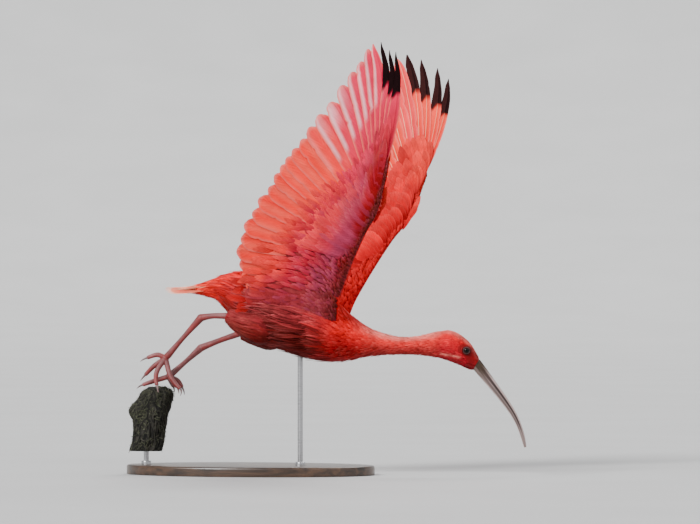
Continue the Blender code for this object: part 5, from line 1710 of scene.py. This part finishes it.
def build_stand():
    """The oval base with a rounded rim, collars for the rods, and finishes for the rods."""
    material, tree, shader = new_material("satin_walnut", 0.34, Coat_Weight=0.25,
                                          Coat_Roughness=0.25)
    drawn = drawn_place(tree, (0.9, 9.0, 9.0))
    rings = node(tree, "ShaderNodeTexNoise", {"Vector": drawn, "Scale": 9.0, "Detail": 5.0,
                                              "Distortion": 0.8}).outputs[0]
    pores = noise(tree, 90.0, 3.0, drawn)
    ramp = node(tree, "ShaderNodeValToRGB", {"Fac": rings})
    ramp.color_ramp.elements[0].position, ramp.color_ramp.elements[1].position = 0.36, 0.64
    ramp.color_ramp.elements[0].color = (0.020, 0.011, 0.006, 1.0)
    ramp.color_ramp.elements[1].color = (0.075, 0.038, 0.020, 1.0)
    paint(tree, shader, stretched(tree, pores, 0.8, 1.15), ramp.outputs[0])
    bump(tree, shader, math_node(tree, "ADD", rings, pores), 0.12)
    bm = bmesh.new()
    bmesh.ops.create_circle(bm, cap_ends=True, segments=256, radius=1.0)
    bmesh.ops.scale(bm, vec=(BASE_HALF_LENGTH, BASE_HALF_WIDTH, 1.0), verts=bm.verts)
    top = bmesh.ops.extrude_face_region(bm, geom=list(bm.faces))
    raised = [item for item in top["geom"] if isinstance(item, bmesh.types.BMVert)]
    bmesh.ops.translate(bm, vec=(0, 0, BASE_THICK), verts=raised)
    bmesh.ops.recalc_face_normals(bm, faces=bm.faces)
    rims = [edge for edge in bm.edges if abs(edge.verts[0].co.z - edge.verts[1].co.z) < 0.01]
    upper = [edge for edge in rims if edge.verts[0].co.z > 1]
    lower = [edge for edge in rims if edge.verts[0].co.z < 1]
    bevel(bm, upper, BASE_ROUND, 5)
    bevel(bm, [edge for edge in lower if edge.is_valid], BASE_FOOT_ROUND, 2)
    link("display_base", bmesh_to_mesh("display_base", bm, 40.0), material, "stained_wood",
         "stand_base")
    steel, tree, shader = new_material("brushed_steel", 0.3, Metallic=1.0)
    drawn = drawn_place(tree, (1.0, 1.0, 24.0))
    lines = noise(tree, 90.0, 4.0, drawn)
    paint(tree, shader, stretched(tree, lines, 0.85, 1.12), (0.46, 0.46, 0.47, 1.0))
    tree.links.new(stretched(tree, lines, 0.24, 0.42), shader.inputs["Roughness"])
    bump(tree, shader, lines, 0.03)
    for rod in RODS:
        frame["nodes"][rod].data.materials.clear()
        frame["nodes"][rod].data.materials.append(steel)
    bm = bmesh.new()
    for rod in RODS:
        low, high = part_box(rod)
        spot = (low + high) / 2 / MM
        found = bmesh.ops.create_circle(bm, cap_ends=True, segments=64, radius=COLLAR_RADIUS)
        bmesh.ops.translate(bm, vec=(spot.x, spot.y, BASE_THICK), verts=found["verts"])
        face = [face for face in bm.faces if found["verts"][0] in face.verts]
        raised = bmesh.ops.extrude_face_region(bm, geom=face)["geom"]
        verts = [item for item in raised if isinstance(item, bmesh.types.BMVert)]
        bmesh.ops.translate(bm, vec=(0, 0, COLLAR_HEIGHT), verts=verts)
        rim = [edge for edge in bm.edges if edge.verts[0] in verts and edge.verts[1] in verts]
        bevel(bm, rim, COLLAR_ROUND, 3)
    bmesh.ops.recalc_face_normals(bm, faces=bm.faces)
    link("rod_collars", bmesh_to_mesh("rod_collars", bm, 40.0), steel, "brushed_rod")


def soft_sun(name, toward, width, power):
    """A broad light from a far direction, as soft as its width in degrees."""
    data = bpy.data.lights.new(name, "SUN")
    data.angle, data.energy = math.radians(width), power
    lamp = add_object(name, data)
    lamp.rotation_euler = Vector(toward).to_track_quat("Z", "Y").to_euler()


def build_stage(studio):
    """A pale floor that sweeps up behind the model, soft lights, and the photo's view."""
    bm = bmesh.new()
    verts = [bm.verts.new((radius, 0.0, height - 0.0004)) for radius, height in BOWL]
    edges = [bm.edges.new(pair) for pair in zip(verts, verts[1:])]
    bmesh.ops.spin(bm, geom=verts + edges, cent=(0, 0, 0), axis=(0, 0, 1), angle=TAU, steps=96,
                   use_merge=True)
    bmesh.ops.remove_doubles(bm, verts=bm.verts, dist=1e-4)
    bmesh.ops.recalc_face_normals(bm, faces=bm.faces)
    bmesh.ops.reverse_faces(bm, faces=bm.faces)
    mesh = bpy.data.meshes.new("floor")
    bm.to_mesh(mesh)
    bm.free()
    mesh.shade_smooth()
    material, tree, shader = new_material("pale_floor", 0.7)
    mottle = noise(tree, 3.0, 3.0)
    paint(tree, shader, stretched(tree, mottle, 0.97, 1.03), (*studio.floor_color, 1.0))
    mesh.materials.append(material)
    floor = add_object("floor", mesh)
    world = bpy.data.worlds.new("studio")
    bpy.context.scene.world = world
    world.use_nodes = True
    background = world.node_tree.nodes["Background"]
    background.inputs["Color"].default_value = (*studio.room_color, 1.0)
    background.inputs["Strength"].default_value = studio.room_strength
    soft_sun("key", (-0.55, -1.0, 0.80), 24.0, studio.key_power)
    soft_sun("fill", (1.0, -0.7, 0.5), 60.0, studio.fill_power)
    soft_sun("rim", (0.2, 0.9, 1.3), 30.0, studio.rim_power)
    data = bpy.data.cameras.new("camera")
    data.lens, data.sensor_width = CAMERA_LENS, CAMERA_SENSOR
    data.clip_end = 400.0
    camera = add_object("camera", data)
    turn = math.radians(CAMERA_AZIMUTH)
    camera.location = CAMERA_AIM + CAMERA_DISTANCE * Vector((math.sin(turn), -math.cos(turn), 0))
    camera.rotation_euler = (CAMERA_AIM - camera.location).to_track_quat("-Z", "Y").to_euler()
    bpy.context.scene.camera = camera


def color_property(name, description, default):
    """A colour setting."""
    return bpy.props.FloatVectorProperty(name=name, description=description, default=default,
                                         subtype="COLOR", size=3, min=0.0, max=1.0)


class IBIS_PG_plumage(bpy.types.PropertyGroup):
    """Colours of the plumage."""
    scarlet: color_property("Scarlet", "Main colour of the plumage", (0.62, 0.0025, 0.0060))
    crimson: color_property("Crimson", "Shaded plumage of the breast and neck",
                            (0.24, 0.0030, 0.0070))
    # Belly is mostly painted shade: under the belly, throat and thighs, at the wing's leading edge
    # and at covered feather roots; it also darkens some under coverts at random.
    belly: color_property("Belly", "Darkest plumage, under the belly", (0.085, 0.0050, 0.0040))
    mauve: color_property("Mauve", "Dull bloom on the flanks", (0.22, 0.024, 0.030))
    # Rose is in part a painted highlight along the top of the neck and crown; elsewhere it is pale
    # feather tips.
    rose: color_property("Rose", "Pale plumage of the neck and crown", (0.66, 0.155, 0.125))
    ember: color_property("Ember", "Rump, and flight feathers seen from above",
                          (0.84, 0.046, 0.026))
    coral: color_property("Coral", "Secondaries, seen from below", (0.95, 0.024, 0.018))
    salmon: color_property("Salmon", "Paler stripes of the secondaries", (0.98, 0.130, 0.085))
    pink: color_property("Pink", "Primaries, seen from below", (0.74, 0.020, 0.074))
    magenta: color_property("Magenta", "Coverts under the wing", (0.46, 0.008, 0.030))
    lilac: color_property("Lilac", "Cool bloom on the coverts under the wing",
                          (0.30, 0.034, 0.080))
    blush: color_property("Blush", "Pale edges of the flight feathers", (0.95, 0.26, 0.22))
    pale_web: color_property("Pale web", "Whitish webs of the primaries, seen from below",
                             (0.95, 0.46, 0.50))
    ivory: color_property("Ivory", "Shafts, and fringes above the tail", (0.95, 0.58, 0.36))
    ink: color_property("Ink", "Tips of the outer primaries", (0.002, 0.002, 0.003))


class IBIS_PG_hard_parts(bpy.types.PropertyGroup):
    """Colours of the face, bill, legs, claws, eyes and snag."""
    face: color_property("Face", "Bare skin between the eye and the bill", (0.12, 0.0030, 0.0050))
    lid: color_property("Lid", "Rims of the eye", (0.055, 0.017, 0.016))
    iris: color_property("Iris", "Iris of the eye", (0.020, 0.008, 0.006))
    bill: color_property("Bill", "Middle of the bill", (0.060, 0.036, 0.034))
    bill_pale: color_property("Bill ridge", "Ridge and edges of the bill", (0.40, 0.300, 0.280))
    bill_dark: color_property("Bill groove", "Grooves of the bill", (0.008, 0.0035, 0.0035))
    bill_base: color_property("Bill base", "Skin at the root of the bill", (0.028, 0.014, 0.0045))
    # Leg on top and Leg flush below are split by which way each face turns: a painted sheen on top,
    # with real red patches.
    leg: color_property("Leg", "Pale scales of the leg", (0.25, 0.075, 0.076))
    # Leg shade darkens the hollows between the scales as painted shade, and also mixes into the
    # leg's own tone.
    leg_dark: color_property("Leg shade", "Hollows between the scales", (0.095, 0.020, 0.022))
    leg_red: color_property("Leg flush", "Red flush under the leg", (0.24, 0.012, 0.010))
    claw: color_property("Claw", "Horn of the claws", (0.115, 0.070, 0.068))
    bark: color_property("Bark", "Hollows of the snag", (0.0045, 0.0042, 0.0035))
    bark_grey: color_property("Weathered bark", "Ridges of the snag", (0.034, 0.031, 0.025))
    moss: color_property("Moss", "Moss near the top of the snag", (0.055, 0.060, 0.034))


class IBIS_PG_studio(bpy.types.PropertyGroup):
    """Floor, room and lights."""
    floor_color: color_property("Floor", "Colour of the floor", (0.44, 0.44, 0.435))
    room_color: color_property("Room", "Colour of the light from all round", (0.92, 0.94, 1.0))
    room_strength: bpy.props.FloatProperty(name="Room strength", default=0.5, min=0.0,
                                           description="Strength of the light from all round")
    key_power: bpy.props.FloatProperty(name="Key", description="Strength of the main light",
                                       default=5.4, min=0.0)
    fill_power: bpy.props.FloatProperty(name="Fill", description="Strength of the fill light",
                                        default=1.3, min=0.0)
    rim_power: bpy.props.FloatProperty(name="Rim", description="Strength of the light behind",
                                       default=2.0, min=0.0)


class IBIS_OT_skin(bpy.types.Operator):
    """Build the one skin under the plumage, with the folds of the head"""
    bl_idname = "ibis.skin"
    bl_label = "Skin"

    def execute(self, context):
        build_skin(Palette(context.scene))
        return {"FINISHED"}


class IBIS_OT_eyes(bpy.types.Operator):
    """Build the eyes and their lids"""
    bl_idname = "ibis.eyes"
    bl_label = "Eyes"

    def execute(self, context):
        build_eyes(Palette(context.scene))
        return {"FINISHED"}


class IBIS_OT_bill(bpy.types.Operator):
    """Build both halves of the bill"""
    bl_idname = "ibis.bill"
    bl_label = "Bill"

    def execute(self, context):
        build_bill(Palette(context.scene))
        return {"FINISHED"}


class IBIS_OT_legs(bpy.types.Operator):
    """Build the scaled legs, the feet and the claws"""
    bl_idname = "ibis.legs"
    bl_label = "Legs and Claws"

    def execute(self, context):
        build_legs(Palette(context.scene))
        return {"FINISHED"}


class IBIS_OT_wings(bpy.types.Operator):
    """Build the flight feathers, coverts and alula of both wings"""
    bl_idname = "ibis.wings"
    bl_label = "Wings"

    def execute(self, context):
        colors = Palette(context.scene)
        for name in SIDES:
            build_flight(name, colors)
            build_coverts(name, "upper", colors)
            build_coverts(name, "under", colors)
            build_alula(name, colors)
        return {"FINISHED"}


class IBIS_OT_tail(bpy.types.Operator):
    """Build the tail feathers and their coverts"""
    bl_idname = "ibis.tail"
    bl_label = "Tail"

    def execute(self, context):
        build_tail(Palette(context.scene))
        return {"FINISHED"}


class IBIS_OT_body_coat(bpy.types.Operator):
    """Build the contour feathers and loose plumes of the torso and thighs"""
    bl_idname = "ibis.body_coat"
    bl_label = "Body Coat"

    def execute(self, context):
        colors = Palette(context.scene)
        build_body_coat(colors)
        build_thigh_coats(colors)
        return {"FINISHED"}


class IBIS_OT_head_coat(bpy.types.Operator):
    """Build the small feathers of the neck and head"""
    bl_idname = "ibis.head_coat"
    bl_label = "Neck and Head Coat"

    def execute(self, context):
        colors = Palette(context.scene)
        build_neck_coat(colors)
        build_head_coat(colors)
        return {"FINISHED"}


class IBIS_OT_perch(bpy.types.Operator):
    """Build the weathered snag"""
    bl_idname = "ibis.perch"
    bl_label = "Snag"

    def execute(self, context):
        build_perch(Palette(context.scene))
        return {"FINISHED"}


class IBIS_OT_stand(bpy.types.Operator):
    """Build the stand's base and finish its rods"""
    bl_idname = "ibis.stand"
    bl_label = "Stand"

    def execute(self, context):
        build_stand()
        return {"FINISHED"}


class IBIS_OT_stage(bpy.types.Operator):
    """Lay the floor and set the lights and the camera"""
    bl_idname = "ibis.stage"
    bl_label = "Stage"

    def execute(self, context):
        build_stage(context.scene.ibis_studio)
        return {"FINISHED"}


OPERATORS = (IBIS_OT_skin, IBIS_OT_eyes, IBIS_OT_bill, IBIS_OT_legs, IBIS_OT_wings, IBIS_OT_tail,
             IBIS_OT_body_coat, IBIS_OT_head_coat, IBIS_OT_perch, IBIS_OT_stand, IBIS_OT_stage)


class IBIS_PT_model(bpy.types.Panel):
    """The model's pieces and settings"""
    bl_idname = "IBIS_PT_model"
    bl_label = "Scarlet Ibis"
    bl_space_type = "VIEW_3D"
    bl_region_type = "UI"
    bl_category = "Ibis"

    def draw(self, context):
        for operator in OPERATORS:
            self.layout.operator(operator.bl_idname)
        for group in (context.scene.ibis_plumage, context.scene.ibis_hard_parts,
                      context.scene.ibis_studio):
            box = self.layout.box()
            for key in group.__annotations__:
                box.prop(group, key)


GROUPS = {"ibis_plumage": IBIS_PG_plumage, "ibis_hard_parts": IBIS_PG_hard_parts,
          "ibis_studio": IBIS_PG_studio}


def register():
    """Register the settings, the operators and the panel."""
    for key, group in GROUPS.items():
        bpy.utils.register_class(group)
        setattr(bpy.types.Scene, key, bpy.props.PointerProperty(type=group))
    for made in OPERATORS + (IBIS_PT_model,):
        bpy.utils.register_class(made)


def unregister():
    """Take the panel, the operators and the settings away again."""
    for made in (IBIS_PT_model,) + OPERATORS[::-1]:
        bpy.utils.unregister_class(made)
    for key, group in GROUPS.items():
        delattr(bpy.types.Scene, key)
        bpy.utils.unregister_class(group)


def main():
    """Build the whole model by its operators."""
    register()
    make_materials()
    for operator in OPERATORS:
        getattr(bpy.ops.ibis, operator.bl_idname.split(".")[1])()


if __name__ == "__main__":
    main()
